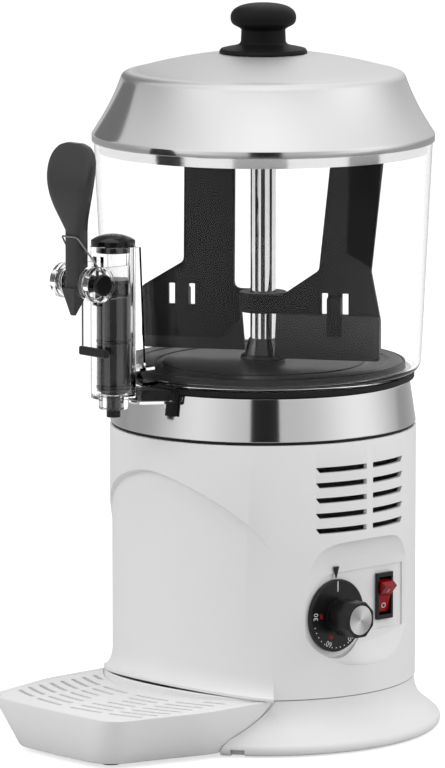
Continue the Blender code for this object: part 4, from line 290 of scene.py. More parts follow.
def dress(made, material, body, *nodes, slot=None):
    """Give a piece its finish, hang it on its body and let it stand for the nodes it refines."""
    made.data.materials.clear()
    made.data.materials.append(material)
    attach(made, body)
    if nodes:
        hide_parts(*nodes)
    print(made.name, len(made.data.polygons), "faces on", body)
    return made


def turned(node, profile, soft, material, body, slot, *shape, **more):
    """Fine piece of a node that is all a lathe's work, already dressed."""
    return dress(lathe("fine_" + node, profile, soft, *shape, **more), material, body, node, slot=slot)


# %% [markdown]
# ## Sums inside a material
# `Wire` lets value sums in a node tree be written as plain arithmetic, `Tree` adds any other node, and
# `Finish` holds one material about its Principled shader.

# %% Wires
class Wire:
    """A socket's value on its way through a node tree."""

    def __init__(self, tree, output):
        self.tree = tree
        self.output = output

    def math(self, operation, *sides, last=False):
        """Math node of this wire and other sides, or Vector Math node as soon as one is a vector."""
        sides = (*sides, self) if last else (self, *sides)
        vector = any(isinstance(side, tuple) or getattr(side, "is_vector", False) for side in sides)
        node = self.tree.nodes.new("ShaderNodeVectorMath" if vector else "ShaderNodeMath")
        node.operation = operation
        for socket, side in zip(node.inputs, sides):
            feed(self.tree, socket, side)
        scalar = vector and operation in ("LENGTH", "DOT_PRODUCT")
        return Wire(self.tree, node.outputs[1 if scalar else 0])

    @property
    def is_vector(self):
        return self.output.type == "VECTOR"

    def __add__(self, other):
        return self.math("ADD", other)

    def __sub__(self, other):
        return self.math("SUBTRACT", other)

    def __rsub__(self, other):
        return self.math("SUBTRACT", other, last=True)

    def __mul__(self, other):
        return self.math("MULTIPLY", other)

    __radd__ = __add__
    __rmul__ = __mul__


def feed(tree, socket, value):
    """Link a wire into a socket, or type a constant on it."""
    if isinstance(value, Wire):
        tree.links.new(value.output, socket)
    elif isinstance(value, tuple) and socket.type == "RGBA":
        socket.default_value = (*value, 1) if len(value) == 3 else value
    else:
        socket.default_value = value


class Tree:
    """Nodes of one material or of the world, less one that a new tree starts with and has no use for."""

    def __init__(self, owner, spare=None):
        owner.use_nodes = True
        self.tree = owner.node_tree
        if spare:
            self.tree.nodes.remove(self.tree.nodes[spare])

    def node(self, kind, settings=None, output=0, sides=(), **inputs):
        """Any node: its settings first, then its sockets in their order or by name, with _ for a space."""
        node = self.tree.nodes.new(kind)
        for name, value in (settings or {}).items():
            setattr(node, name, value)
        for socket, value in zip(node.inputs, sides):
            feed(self.tree, socket, value)
        for name, value in inputs.items():
            feed(self.tree, node.inputs[name.replace("_", " ")], value)
        return Wire(self.tree, node.outputs[output])

    def ray(self, kind):
        """What Light Path says of the ray that meets the surface."""
        return self.node("ShaderNodeLightPath", output=kind)

    def shaders(self, share, first, second):
        """The first shader where the share is 0, the second where it is 1."""
        return self.node("ShaderNodeMixShader", sides=(share, first, second))

    def close(self, shader):
        """Link the last shader to the tree's output."""
        output = next(node for node in self.tree.nodes if node.type.startswith("OUTPUT"))
        self.tree.links.new(shader.output, output.inputs[0])


class Finish(Tree):
    """One procedural material about its Principled shader."""

    def __init__(self, name, **constants):
        self.material = bpy.data.materials.new(name)
        super().__init__(self.material)
        self.shader = self.tree.nodes["Principled BSDF"]
        self.set(**constants)

    def set(self, **values):
        """Type or link values on the shader; an underscore stands for a space."""
        for name, value in values.items():
            feed(self.tree, self.shader.inputs[name.replace("_", " ")], value)
        return self

    def place(self):
        """Object coordinates, metres in the shared frame."""
        return self.node("ShaderNodeTexCoord", output="Object")

    def noise(self, scale, detail=2.0, rough=0.5, place=None):
        """Noise from 0 to 1 at a scale per metre."""
        return self.node("ShaderNodeTexNoise", Vector=place or self.place(), Scale=scale, Detail=detail,
                         Roughness=rough)

    def blend(self, share, first, second):
        """Colour mix by a share."""
        node = self.tree.nodes.new("ShaderNodeMix")
        node.data_type = "RGBA"
        for at, value in ((0, share), (6, first), (7, second)):
            feed(self.tree, node.inputs[at], value)
        return Wire(self.tree, node.outputs[2])

    def drift(self, share, colour, depth):
        """Colour that is darker by a depth where the share is low."""
        return self.blend(share, tuple(value * (1 - depth) for value in colour), colour)

    def bump(self, height, strength, distance):
        """Normal from a height, distance in millimetres."""
        return self.set(Normal=self.node("ShaderNodeBump", Height=height, Strength=strength,
                                         Distance=distance * MM))


# %% [markdown]
# ## Finishes
# White parts are injection moulded with a fine spark-eroded grain. Black parts are the same plastic family:
# satin lever and knob, flat stirrer. The lid is spun steel, so its marks run round the axis; the ring is
# rolled sheet with upright reflections; the bowl is clear polycarbonate.

# %% Plastics
def moulded(name, colour, rough, grain, spread=0.3, shine=0.5):
    """Moulded plastic: tone drifts slightly, grain of about half a millimetre, roughness varies with it."""
    made = Finish(name, Metallic=0.0, IOR=1.5, Specular_IOR_Level=shine)
    wide = made.noise(9.0)
    fine = made.noise(1900.0, 3.0)
    made.set(Base_Color=made.drift(wide, colour, spread), Roughness=mix(rough * 0.9, rough * 1.1, fine))
    return made.bump(fine, grain, 0.3).material


WHITE = moulded("white_plastic", (0.80, 0.80, 0.80), 0.38, 0.02, 0.02)
BLACK = moulded("black_plastic", (0.008, 0.008, 0.0085), 0.32, 0.01, shine=0.35)
GLOSS = moulded("gloss_black", (0.006, 0.006, 0.0065), 0.16, 0.004, shine=0.4)
SATIN = moulded("satin_black", (0.012, 0.0122, 0.0125), 0.36, 0.02, shine=0.4)
LEVER = moulded("lever_black", (0.028, 0.0282, 0.0286), 0.36, 0.02, 0.2)
DARK = moulded("dark_plastic", (0.009, 0.009, 0.0092), 0.5, 0.02, shine=0.12)
RUBBER = moulded("black_rubber", (0.007, 0.007, 0.007), 0.6, 0.06, shine=0.3)
PLATE = moulded("coated_plate", (0.003, 0.003, 0.0033), 0.3, 0.01, shine=0.025)
RED = moulded("red_plastic", (0.3, 0.003, 0.006), 0.16, 0.004, shine=0.22)
PRINT = moulded("white_print", (0.75, 0.75, 0.75), 0.5, 0.0, 0.02)
RED_PRINT = moulded("red_print", (0.55, 0.02, 0.03), 0.5, 0.0, 0.02)


# %% Metals
UP = (0.0, 0.0, 1.0)


def spun(name, colour, rough, matt_above=None):
    """Turned or spun metal: noise of the distance from the axis gives rings all the way round."""
    made = Finish(name, Metallic=1.0)
    radius = ((made.place() - tuple(AXIS)) * (1.0, 1.0, 0.0)).math("LENGTH")
    rings = made.node("ShaderNodeTexNoise", {"noise_dimensions": "1D"}, W=radius, Scale=2600.0, Detail=3.0)
    shade = mix(rough * 0.8, rough * 1.2, rings)
    if matt_above is not None:
        over = (made.place().math("DOT_PRODUCT", UP) - matt_above * MM) * 120.0
        shade = shade + over.math("MAXIMUM", 0.0).math("MINIMUM", 1.0) * 0.45
    made.set(Base_Color=made.drift(made.noise(14.0), colour, 0.04), Roughness=shade)
    return made.bump(rings, 0.02, 0.02).material


def sheet(name, colour, rough, marks=0.02, across=(60.0, 60.0, 3200.0)):
    """Rolled or drawn metal: noise stretched along one direction."""
    made = Finish(name, Metallic=1.0)
    grain = made.noise(1.0, 3.0, 0.6, made.place() * across)
    made.set(Base_Color=made.drift(made.noise(18.0), colour, 0.05),
             Roughness=mix(rough * 0.8, rough * 1.2, grain))
    return made.bump(grain, marks, 0.02).material


def sheen_painted_disc(name, dark, light):
    """Disc with a painted sheen: two bright fans painted into the base colour by the cosine of twice the
    angle about the dial's axis.
    """
    made = Finish(name, Metallic=1.0, Roughness=0.32)
    off = made.place() - (AXIS.x, AXIS.y + DIAL[1] * MM, AXIS.z + DIAL[2] * MM)
    swing = off.math("DOT_PRODUCT", UP).math("ARCTAN2", off.math("DOT_PRODUCT", (0.0, 1.0, 0.0)))
    # Painted sheen: the colour brightens in two fans about the dial's axis, standing in for light on a spun
    # disc.
    painted_fan = ((swing - 0.9) * 2.0).math("COSINE") * 0.5 + 0.5
    return made.set(Base_Color=made.blend(painted_fan, dark, light)).material


LID_STEEL = spun("lid_steel", (0.74, 0.74, 0.74), 0.13, matt_above=416)
BRONZE = spun("bronze", (0.55, 0.36, 0.16), 0.3)
RING_STEEL = sheet("ring_steel", (0.72, 0.72, 0.72), 0.1)
BRIGHT = sheet("steel", (0.6, 0.6, 0.6), 0.06, 0.01)
WIRE = sheet("wire_steel", (0.3, 0.3, 0.3), 0.2, 0.01)
INNER_STEEL = sheet("inner_steel", (0.55, 0.56, 0.57), 0.34, 0.05, (900.0, 60.0, 900.0))
# The insert's two bright fans are a painted sheen in its base colour, not a real brushing.
SHEEN_PAINTED_INSERT = sheen_painted_disc("insert_steel_painted_sheen", (0.42, 0.42, 0.42), (0.86, 0.86, 0.86))


# %% Clear plastic
def clear(name, index):
    """Polycarbonate: light passes with a faint grey, roughness drifts a little over the surface."""
    made = Finish(name, Metallic=0.0, IOR=index, Transmission_Weight=1.0)
    drift = made.noise(40.0)
    made.set(Base_Color=made.blend(drift, (0.99, 0.99, 0.99), (0.998, 0.998, 0.998)),
             Roughness=mix(0.007, 0.013, drift))
    return made.material


CLEAR = clear("clear_plastic", 1.2)
CLEAR_TAP = clear("clear_tap", 1.42)

# %% [markdown]
# ## Base
# The foot is one moulding that flares from the housing's waist to a rounded nose, cut away where the tray
# slides in. The housing above it has a flatter front that ends in a soft arch, drawn here column by column:
# each column of the grid is the wall's section at one angle from the front.

# %% Tray outline
REACH, BACK = 184.0, 98.5
TRAY_FOOT, TRAY_RIM = 3, 34
HALVES = ((61.5, 63.5, 54, 45), (76.9, 75.8, 67, 60))
INSETS = ((83, 48, 10), (66, 31, 1.5))


def tray_loop(height, grow):
    """Outline of the tray at a height, grown outwards: round back, straight sides, bevelled front."""
    share = (height - TRAY_FOOT) / (TRAY_RIM - TRAY_FOOT)
    halves = [mix(low, high, share) + grow for low, high in zip(*HALVES)]
    wide, slope, front = [mix(low, high, share) - REACH - grow for low, high in zip(*INSETS)]
    radius = BACK - grow
    angle = math.degrees(math.asin(halves[0] / radius))
    back = polar(radius, np.linspace(-angle, angle, 41))
    right = np.array([(halves[1], wide + grow), (halves[2], slope + grow), (halves[3], front)])
    outline = np.vstack([back, right, [(0, front - 1.5)], (right * (-1, 1))[::-1]])
    corner = np.full(len(outline), max(mix(12, 14, share) + grow, 2.2) * 0.62)
    corner[[43, 45]] = mix(17, 20, share) + grow
    soft = soften(outline, corner, steps=8, only=(41, 42, 43, 45, 46, 47))
    return np.column_stack([soft, np.full(len(soft), float(height))])


# %% Foot ring
WAIST = np.array((97.4, 33.3))
rim = arc((110.3, 5.2), 4.2, 60, -80, 14)
out, drop = (rim[0] - WAIST) * (1, -1)
flare = curve(WAIST, WAIST - (0, drop * 0.67), rim[0] + (-out * 0.36, drop * 0.22), rim[0], 24)
section = np.vstack([flare, rim[1:], [(88.5, 1), (88.5, 6.8), (84, 6.8), (84, WAIST[1])]])
foot = lathe("fine_base_foot", section)
tray_room = loft("tray_room", [tray_loop(level, 0.8) for level in (-3, 37.3)])
notches = [moved(block("notch", (-4.5, -7, -3), (4.5, 7, 5.5)), (*polar(114.5, turn), 0), turn)
           for turn in (-39.5, 39.5)]
combine(foot, [tray_room] + notches, angle=28)
dress(edged(foot, 0.35, 40), WHITE, "machine", "base_foot", slot="white_plastic")

# %% Housing
FACE, TOE, FACE_SHIFT = 108, 113.8, 15
EDGE = math.acos((FACE ** 2 - HOUSING ** 2 - FACE_SHIFT ** 2) / (2 * HOUSING * FACE_SHIFT))
ARCH_HALF = HOUSING * math.sin(EDGE)
ARCH_FOOT, ARCH_RISE, ARCH_POWER = 123, 51, 1.68
FOOT_TOP, FRONT_RISE, INNER = 33.8, 6, 95


def face_reach(radius, angle):
    """Distance from the axis to a circle whose centre lies FACE_SHIFT behind it, at an angle a from the
    front: sqrt(radius^2 - (shift sin a)^2) - shift cos a."""
    return np.sqrt(radius ** 2 - (FACE_SHIFT * np.sin(angle)) ** 2) - FACE_SHIFT * np.cos(angle)


def housing_grid():
    """Rows of the housing's wall, outside up and inside down, at angles packed near the arch's ends."""
    front = EDGE * np.sin(np.linspace(-1, 1, 145) * np.pi / 2)
    angle = np.concatenate([front, np.linspace(EDGE + 0.004, 2 * np.pi - EDGE - 0.004, 230)])
    ahead = np.arange(len(angle)) < len(front)
    side = np.where(ahead, np.minimum(1, np.abs(HOUSING * np.sin(angle)) / ARCH_HALF), 1)
    face = np.where(ahead, np.minimum(face_reach(FACE, angle), HOUSING), HOUSING)
    toe = np.where(ahead, np.minimum(face_reach(TOE, angle), HOUSING + TOE - FACE), HOUSING)
    bottom = FOOT_TOP + FRONT_RISE * (1 - side ** 2)
    arch = ARCH_FOOT + ARCH_RISE * (1 - side ** ARCH_POWER) ** (1 / ARCH_POWER)
    rows = [(toe - 0.5, bottom), (toe, bottom + 0.5)]
    rows += [(mix(face, toe, 1 - np.sin(turn)), mix(bottom + 1.9, bottom + 15, 1 - np.cos(turn)))
             for turn in np.linspace(0, np.pi / 2, 9)]
    rows += [(mix(face, HOUSING, out), arch + 1.8 * along)
             for along, out in ((0, 0), (0.25, 0.1), (0.5, 0.5), (0.75, 0.9), (1, 1))]
    rows += [(HOUSING, DECK - 0.8), (HOUSING - 0.2, DECK - 0.2), (HOUSING - 0.8, DECK)]
    towards = np.maximum(np.sin(angle), 1e-6)
    back = np.where(ahead, face - 3, np.minimum(INNER, 84.5 / towards))
    wall = np.where(ahead, back, INNER)
    high = np.where(ahead, arch + 3, 136)
    low = np.where(ahead, bottom, 49)
    rows += [(INNER, DECK), (INNER, high + 1.2), (back, high),
             (back, np.where(ahead, mix(bottom, high, 0.2), 50.2)), (wall, low), (wall, bottom)]
    radius, height = (np.array([np.broadcast_to(row[at], angle.shape) for row in rows]) for at in (0, 1))
    return np.stack([radius * np.sin(angle), -radius * np.cos(angle), height], -1)


grid = housing_grid()
shell = piece("fine_body_shell", grid, grid_faces(*grid.shape[:2], wrap_rows=True), 30)

# %% Control recess and its openings
SCOOP_FLOOR = 88.5


def scoop_loop(x):
    """Outline of the control recess at one depth: it widens fast near the floor, then runs out softly."""
    share = min(1.0, (x - SCOOP_FLOOR) / (HOUSING - SCOOP_FLOOR))
    beyond = max(0.0, (x - HOUSING) / 4)
    top = 121 - 12.5 * (1 - share) ** 3.75 + 0.6 * beyond
    bottom = 62 + 13 * (1 - share) ** 2.08 - 1.3 * beyond
    t = np.linspace(0, 1, 29)
    head = np.column_stack([mix(-47, 50, t), top + 12 * np.sqrt(1 - np.abs(2 * t - 1) ** 2.6)])
    foot_run = np.column_stack([mix(50, -47, t), bottom - 10 * np.sin(np.pi * t)])
    outline = soften(np.vstack([head, foot_run]), 2.5, steps=5, only=(0, 28, 29, 57))
    return np.column_stack([np.full(len(outline), x), outline])


scoop = loft("scoop", [scoop_loop(mix(SCOOP_FLOOR, 102, share ** 1.6)) for share in np.linspace(0, 1, 15)])
start, end = math.degrees(math.asin(27.5 / 27.6)), 330
pocket_line = np.vstack([arc(DIAL[1:], 27, start, end, 60), [(39, 71.5), (39, 112.5)]])
pocket = prism("pocket", soften(pocket_line, 1.0, least_turn=30), 87.5, 102, "X")
spindle_hole = rod("hole", 3.3, 80, 98, 32, DIAL, "X")
switch_hole = block("hole", (80, SWITCH[0] - 5.7, SWITCH[1] - 13.8), (98, SWITCH[0] + 5.7, SWITCH[1] + 13.8))
vents = []
for row in range(5):
    top, bottom = 179.5 - row * 9.7 + 1.8, 179.5 - row * 9.7 - 1.8
    for outline in ([(-37.9, top), (-1, top), (-1, bottom), (-35.3, bottom)],
                    [(4.3, top), (36.4, top), (33.8, bottom), (4.3, bottom)]):
        vents.append(prism("vent", soften(outline, 0.7), 76, 102, "X"))
gland_hole = rod("hole", 8.8, 92, 102, 64, GLAND, "Y")
combine(shell, [scoop, pocket, spindle_hole, switch_hole, joined("vents", vents), gland_hole], angle=24)
dress(shell, WHITE, "machine", "body_shell", slot="white_plastic")

# %% [markdown]
# ## Drip tray and grille
# A white moulded tray that hooks round the foot's front, with a lip that follows the arched edge of the
# housing, and a loose slotted plate that lies on its ledge. The slots lie on wide arcs and have round ends.

# %% Drip tray
WALL = ((3.0, -1.2), (3.3, -0.4), (4.0, 0), (32.9, 0), (33.7, -0.3), (34, -1.1), (34, -2.9), (33.7, -3.5),
        (33.1, -3.8), (30.3, -3.8), (30.3, -5.8), (8, -5.8), (6, -6.6), (5.2, -8.6))
tray = loft("fine_drip_tray", [tray_loop(level, grow) for level, grow in WALL], angle=40)
LIP_IN, LIP_OUT = 98.9, 101.1
edge = math.degrees(math.asin(76.4 / LIP_OUT)) - 1
inner, outer = (polar(radius, np.linspace(-edge, edge, 61)) for radius in (LIP_IN, LIP_OUT))
top = TRAY_RIM + 4.8 * (1 - (np.abs(inner[:, 0]) / ARCH_HALF) ** 2)
low = np.full_like(top, 32.9)
lip = [np.column_stack([mix(inner, outer, share), level]) for share, level in (
    (0, low), (1, low), (1, top - 0.6), (0.75, top), (0.25, top), (0, top - 0.6))]
combine(tray, [loft("lip", np.stack(lip, 1), angle=40)], "UNION", 35)
dress(tray, WHITE, "tray", "drip_tray", slot="white_plastic")

# %% Grille
plate_line = tray_loop(TRAY_RIM, -4.1)[:, :2]
SLOT_WIDTH, SLOT_ARC, LEAST_SLOT = 3.0, 150.0, 9


def slot_line(start, end, row_y):
    """One curved slot with round ends between two X places, on an arc of a wide circle."""
    half = SLOT_WIDTH / 2
    angle = np.arcsin(np.linspace(start + half, end - half, 9) / SLOT_ARC)
    run = np.column_stack([SLOT_ARC * np.sin(angle), row_y + SLOT_ARC - SLOT_ARC * np.cos(angle)])
    out = np.column_stack([np.sin(angle), -np.cos(angle)]) * half
    caps = [run[at] + arc((0, 0), half, turn, turn + 180, 8)[1:-1]
            for at, turn in ((-1, math.degrees(angle[-1]) - 90), (0, math.degrees(angle[0]) + 90))]
    return np.vstack([run + out, caps[0], (run - out)[::-1], caps[1]])


def inside(points, outline, margin):
    """Whether all points lie in the outline, at least a margin from its edge."""
    a = outline[None]
    run = np.roll(outline, -1, 0)[None] - a
    off = points[:, None] - a
    share = np.clip((off * run).sum(-1) / (run * run).sum(-1), 0, 1)
    near = np.linalg.norm(off - run * share[..., None], axis=-1).min()
    over = (a[..., 1] > points[:, None, 1]) != (a[..., 1] + run[..., 1] > points[:, None, 1])
    level = np.where(np.abs(run[..., 1]) < 1e-9, 1e-9, run[..., 1])
    cross = a[..., 0] + run[..., 0] * off[..., 1] / level
    return near >= margin and ((over & (points[:, None, 0] < cross)).sum(1) % 2 == 1).all()


def fitted(start, end, row_y):
    """The longest slot in a stretch that keeps clear of the plate's edge and of the round boss."""
    for length in range(end - start, LEAST_SLOT - 1, -1):
        for shift in range(end - start - length + 1):
            line = slot_line(start + shift, start + shift + length, row_y)
            if np.linalg.norm(line - (0, -131), axis=1).min() > 11 and inside(line, plate_line, 2.5):
                return line
    return None


grille = prism("fine_drip_grille", plate_line, 30.6, 33.6, angle=40)
lines = [fitted(start, end, -112 - row * 9.2)
         for row in range(-2, 7) for start, end in ((-63, -36), (-31, -4), (4, 31), (36, 63))]
openings = [prism("slot", line, 26, 38) for line in lines if line is not None]
print("grille slots:", len(openings))
combine(grille, [joined("slots", openings)], angle=35)
dress(edged(grille, 0.35, 40), WHITE, "grille", "drip_grille", slot="white_plastic")

# %% [markdown]
# ## Heating section
# The rolled steel ring stands on the deck; the black plate closes the bowl's floor over the heating element
# and the polished column rises through it. These are turned forms with small rounded edges.

# %% Ring, plate, column
ring = [(97.8, 198.1), (96.6, 198.1), (92.4, 224.8), (87.6, 224.8), (87.6, 226), (93.6, 226)]
turned("steel_ring", ring, [0.3, 0.3, 0.6, 0.3, 0.4, 1.6], RING_STEEL, "machine", "steel", steps=5)
plate = [(8.5, 236.2), (64, 236.2), (65, 235.6), (67, 235.6), (68, 236.2), (79, 236.2), (80.5, 236.8),
         (88.6, 236.8), (89.4, 236), (89.4, 229.6), (8.5, 229.6)]
turned("heating_plate", plate, 0.5, PLATE, "machine", "black_plastic")
tube = [(7.2, 372), (8.2, 372), (8.2, 198.1), (7.2, 198.1)]
turned("column_tube", tube, 0.25, BRIGHT, "machine", "steel", 96)
hub = [(8.5, 250.7), (9.1, 250.7), (10, 247), (11.8, 240.3), (13.4, 240.3), (14.6, 239.1), (14.6, 237.1),
       (8.5, 237.1)]
turned("column_hub", hub, 0.5, GLOSS, "machine", "black_plastic", 96)

# %% Seal, stirrer, scrapers
dress(copy_of("bowl_seal", 40), RUBBER, "bowl_unit", "bowl_seal", slot="black_rubber")
ARM_TURN, ARM_SIDE = 35.0, -11
EDGE_FROM, EDGE_TO = 14, 18.2


def drawn_in(made, low, high, to):
    """Move a blade's inner edge towards the column, at the corners between two levels."""
    away = Vector((math.cos(math.radians(ARM_TURN)), math.sin(math.radians(ARM_TURN)), 0))
    side = Vector((-away.y, away.x, 0))
    for corner in made.data.vertices:
        place = (corner.co - AXIS) / MM
        if EDGE_FROM < place.dot(away) < EDGE_TO and place.dot(side) < ARM_SIDE and low < place.z < high:
            corner.co += away * (to - place.dot(away)) * MM
    return made


stirrer = drawn_in(copy_of("stirrer"), 240, 267, 11)
dress(edged(stirrer, 0.3), DARK, "drive", "stirrer", slot="dark_plastic")
outer_blade = drawn_in(drawn_in(copy_of("scraper_outer"), 236, 255, 10.8), 255, 270, 12)
for made, name in ((outer_blade, "scraper_outer"), (copy_of("scraper_inner"), "scraper_inner")):
    dress(edged(made, 0.25), SATIN, "drive", name, slot="black_plastic")

# %% [markdown]
# ## Bowl and tap body
# On the machine these are one clear moulding: the wall, a web, the tap's tube, the duct that feeds it, the
# trough under it and the two ears of the lever's pivot. Here too they are fused into one surface, so that no
# inner skins show through. The thin wall mirrors little, and the tap's thick plastic bends light more, so
# each has its own finish.

# %% Bowl
BOWL_FOOT, BOWL_RIM = 237.6, 381.2
bend = (93, BOWL_FOOT)
bowl_line = np.vstack([[(105.4, 380.7), (105.8, BOWL_RIM), (107.6, BOWL_RIM), (108, 380.7)],
                       arc(bend, 8, 0, -90, 12), [(91.3, 229.6), (91.3, 232.2)], arc(bend, 5.4, -90, 0, 12)])
bowl = lathe("fine_bowl", bowl_line, angle=40)


def in_wall(height):
    """Point within the bowl's wall at a height, in a section through the tap."""
    return 1.3 - mix(101, 108, (height - BOWL_FOOT) / (BOWL_RIM - BOWL_FOOT)), height


# %% Tap's tube, duct, web and trough
DUCT_END = -119.9
tube_line = [(0, 321), (14.2, 321), (14.2, 225), (9.3, 225), (9.3, 218), (0, 218)]
tap = lathe("tap", tube_line, 0.6, 96, TAP)
duct_line = np.vstack([[(DUCT_END, 231.2)], arc(bend, 6.7, -68, 0, 8) * (-1, 1),
                       [in_wall(242.8), (DUCT_END, 242.8)]])
duct = prism("duct", duct_line, -9.5, 9.5, "X")
web = prism("web", [(DUCT_END, 318), (DUCT_END, 241.8), in_wall(241.8), in_wall(318)], -1.2, 1.2, "X")


def trough_line(inset, back):
    """Plan of the trough, narrow at the tube and wide at the ring."""
    narrow, wide, front = 12 - inset, 24 - inset, 116.0 - inset
    wide += (wide - narrow) / (front - 97.2) * (97.2 - back)
    return soften([(-narrow, -front), (narrow, -front), (wide, -back), (-wide, -back)],
                  [3.2, 3.2, 0.01, 0.01], steps=5)


trough = prism("trough", trough_line(0, 97.2), 220.5, 232.2)
combine(trough, [prism("space", trough_line(1.5, 93.2), 222, 240)])


# %% Ears and fusing
def ear(side):
    """Ear on its arm beside the tube, with an open rim round the spring's coil."""
    def span(near, far):
        return sorted((side * near, side * far))

    boss = rod("ear", 11.2, *span(13, 18.2), 72, PIVOT, "X", 0.5)
    rim_line = np.vstack([arc(PIVOT[1:], 10.9, 84, 306, 40), arc(PIVOT[1:], 9.9, 306, 84, 40)])
    rim = prism("rim", rim_line, *span(8.5, 15.6), "X")
    low, high = span(13.6, 16)
    combine(boss, [rim, block("arm", (low, -145.7, 290), (high, TAP[1], 310))], "UNION")
    return combine(boss, [rod("hole", 3, *span(9, 22.2), 32, PIVOT, "X")])


combine(tap, [web, duct, trough, ear(-1), ear(1)], "UNION")
bore = lathe("bore", [(0, 325), (11, 325), (11, 227.5), (4.7, 227.5), (4.7, 214), (0, 214)], None, 96, TAP)
combine(tap, [bore, block("window", (-3.7, -145.2, 284), (3.7, TAP[1], 315))])
combine(bowl, [tap], "UNION")
combine(bowl, [block("channel", (-7.5, TAP[1], 233.2), (7.5, -85, 240.8))], angle=35)
dress(bowl, CLEAR, "bowl_unit", "bowl", "tap_body", slot="clear_plastic")
bowl.data.materials.append(CLEAR_TAP)
centres = np.empty(len(bowl.data.polygons) * 3)
bowl.data.polygons.foreach_get("center", centres)
centres = (centres.reshape(-1, 3) - np.array(AXIS)) / MM
foot_edge = (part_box("bowl")[0][2] - AXIS.z) / MM + 3.5
thick = (np.hypot(centres[:, 0], centres[:, 1]) > 108.5) | (centres[:, 2] < foot_edge)
bowl.data.polygons.foreach_set("material_index", thick.astype(np.int32))

# %% [markdown]
# ## Tap
# A domed cap, a black piston with two rings, the nozzle, the lever on its pin and the return spring bent
# from one wire: legs on the black bar, two coils round the pivot and a bail across the lever's neck.

# %% Cap, nozzle, pin, piston
cap = np.vstack([curve((0, 328.4), (5, 328.3), (10, 327), (13.5, 324.6), 12),
                 [(13.9, 324.3), (13.9, 321.3), (10.7, 321.3), (10.7, 316.8), (8.9, 316.8), (8.9, 321.3),
                  (0, 321.3)]])
turned("tap_cap", cap, 0.4, GLOSS, "tap_cap", "black_plastic", 96, TAP, least_turn=30)
nozzle = [(3.1, 228.7), (7.8, 228.7), (7.8, 227.8), (4.4, 227.8), (4.4, 212.7), (3.1, 212.7)]
turned("tap_nozzle", nozzle, 0.25, BLACK, "bowl_unit", "black_plastic", 64, TAP)
pin = [(0, 21.1), (6.9, 21.1), (6.9, 18.5), (2.8, 18.5), (2.8, -18.2), (0, -18.2)]
turned("pivot_pin", pin, [0.6, 0.9, 0.5, 0.2, 0.2, 0.2], GLOSS, "bowl_unit", "black_plastic", 64, PIVOT, "X")
pin_cap = rod("fine_pin_cap", 6.9, -18.5, -21.1, 64, PIVOT, "X", 0.9)
dress(pin_cap, GLOSS, "bowl_unit", "pin_cap", slot="black_plastic")
piston_line = [(0, 300), (10.4, 300), (10.4, 262.7), (8.7, 262.7), (8.7, 260.1), (10.4, 260.1), (10.4, 233.7),
               (8.7, 233.7), (8.7, 231.1), (10.4, 231.1), (10.4, 230.1), (9.6, 229.3), (0, 229.3)]
piston = lathe("fine_tap_piston", piston_line, 0.3, 72, TAP)
combine(piston, [block("front", (-14.4, -141.4, 290.5), (14.4, -134.5, 304)),
                 block("pocket", (-14.4, -141.4, 290.5), (14.4, -124.8, 298))])
dress(piston, BLACK, "tap_piston", "tap_piston", slot="black_plastic")
for name, level in (("piston_ring_lower", 232.4), ("piston_ring_upper", 261.4)):
    turned(name, arc((9.85, level), 1, 90, -255, 14), None, RUBBER, "tap_piston", "black_rubber", 72, TAP)
bar = edged(copy_of("spring_bar", 20, 0.1), 0.3)
dress(bar, BLACK, "bowl_unit", "spring_bar", slot="black_plastic")

# %% Lever's paddle
PADDLE_FOOT, PADDLE_TOP = 333, 387.6
HEIGHTS = np.array((0.0, 0.13, 0.26, 0.42, 0.6, 0.72, 0.84, 0.92, 0.975, 1.0))
WIDTHS = np.array((0.345, 0.5, 0.68, 0.86, 0.98, 1.0, 0.94, 0.8, 0.58, 0.34))


def paddle_loop(share, wide):
    """Level slice of the paddle, from the pivot: flat back, soft belly towards the front."""
    front = 2.0 * share ** 2 - 9.2 - 5.5 * math.sin(math.pi * share)
    back = front + mix(8.5, 4, share ** 3)
    sides = 20.6 * wide * np.array((0.45, 0.86, 1.0, 1.0, 0.8))
    right = np.column_stack([sides, mix(front, back, np.array((0.0, 0.1, 0.38, 0.72, 1.0)))])
    flat = np.vstack([right, (right * (-1, 1))[::-1]])
    return np.column_stack([flat, np.full(10, mix(PADDLE_FOOT, PADDLE_TOP, share) - PIVOT[2])])


def hermite(t, start, end, leave, arrive):
    """Cubic between two values that leaves and arrives with given slopes."""
    return ((2 * t ** 3 - 3 * t ** 2 + 1) * start + (t ** 3 - 2 * t ** 2 + t) * leave
            + (3 * t ** 2 - 2 * t ** 3) * end + (t ** 3 - t ** 2) * arrive)


def smooth_between(values, at, steps):
    """Shares packed towards the tip, and the values there on a smooth curve through given ones."""
    slope = np.gradient(values, at)
    spots = 1 - (1 - np.linspace(0, 1, steps)) ** 1.6
    place = np.clip(np.searchsorted(at, spots, side="right") - 1, 0, len(at) - 2)
    width = at[place + 1] - at[place]
    t = (spots - at[place]) / width
    return spots, hermite(t, values[place], values[place + 1], width * slope[place], width * slope[place + 1])


def closed_smooth(loop):
    """Smooth closed curve through a loop's points, eight steps to each, with neighbour slopes."""
    slope = (np.roll(loop, -1, 0) - np.roll(loop, 1, 0)) / 2
    t = np.linspace(0, 1, 8, endpoint=False)[None, :, None]
    run = hermite(t, *(side[:, None] for side in (loop, np.roll(loop, -1, 0), slope, np.roll(slope, -1, 0))))
    return run.reshape(-1, loop.shape[1])


shares, widths = smooth_between(WIDTHS, HEIGHTS, 40)
slices = [closed_smooth(paddle_loop(share, min(1.0, wide))) for share, wide in zip(shares, widths)]
NECK_HALF, NECK_FOOT = 6.3, -2.7
neck = paddle_loop(0, WIDTHS[0])
neck[:, 0] = np.clip(neck[:, 0], -NECK_HALF, NECK_HALF)
neck[:, 2] = NECK_FOOT
neck = closed_smooth(neck)
rise = [mix(neck, slices[0], share) for share in (0, 0.35, 0.7)]
crown = [mix(slices[-1].mean(0), slices[-1], grow) for grow in (0.75, 0.35)]
paddle = loft("paddle", np.array(rise + slices + crown) + PIVOT, angle=60)

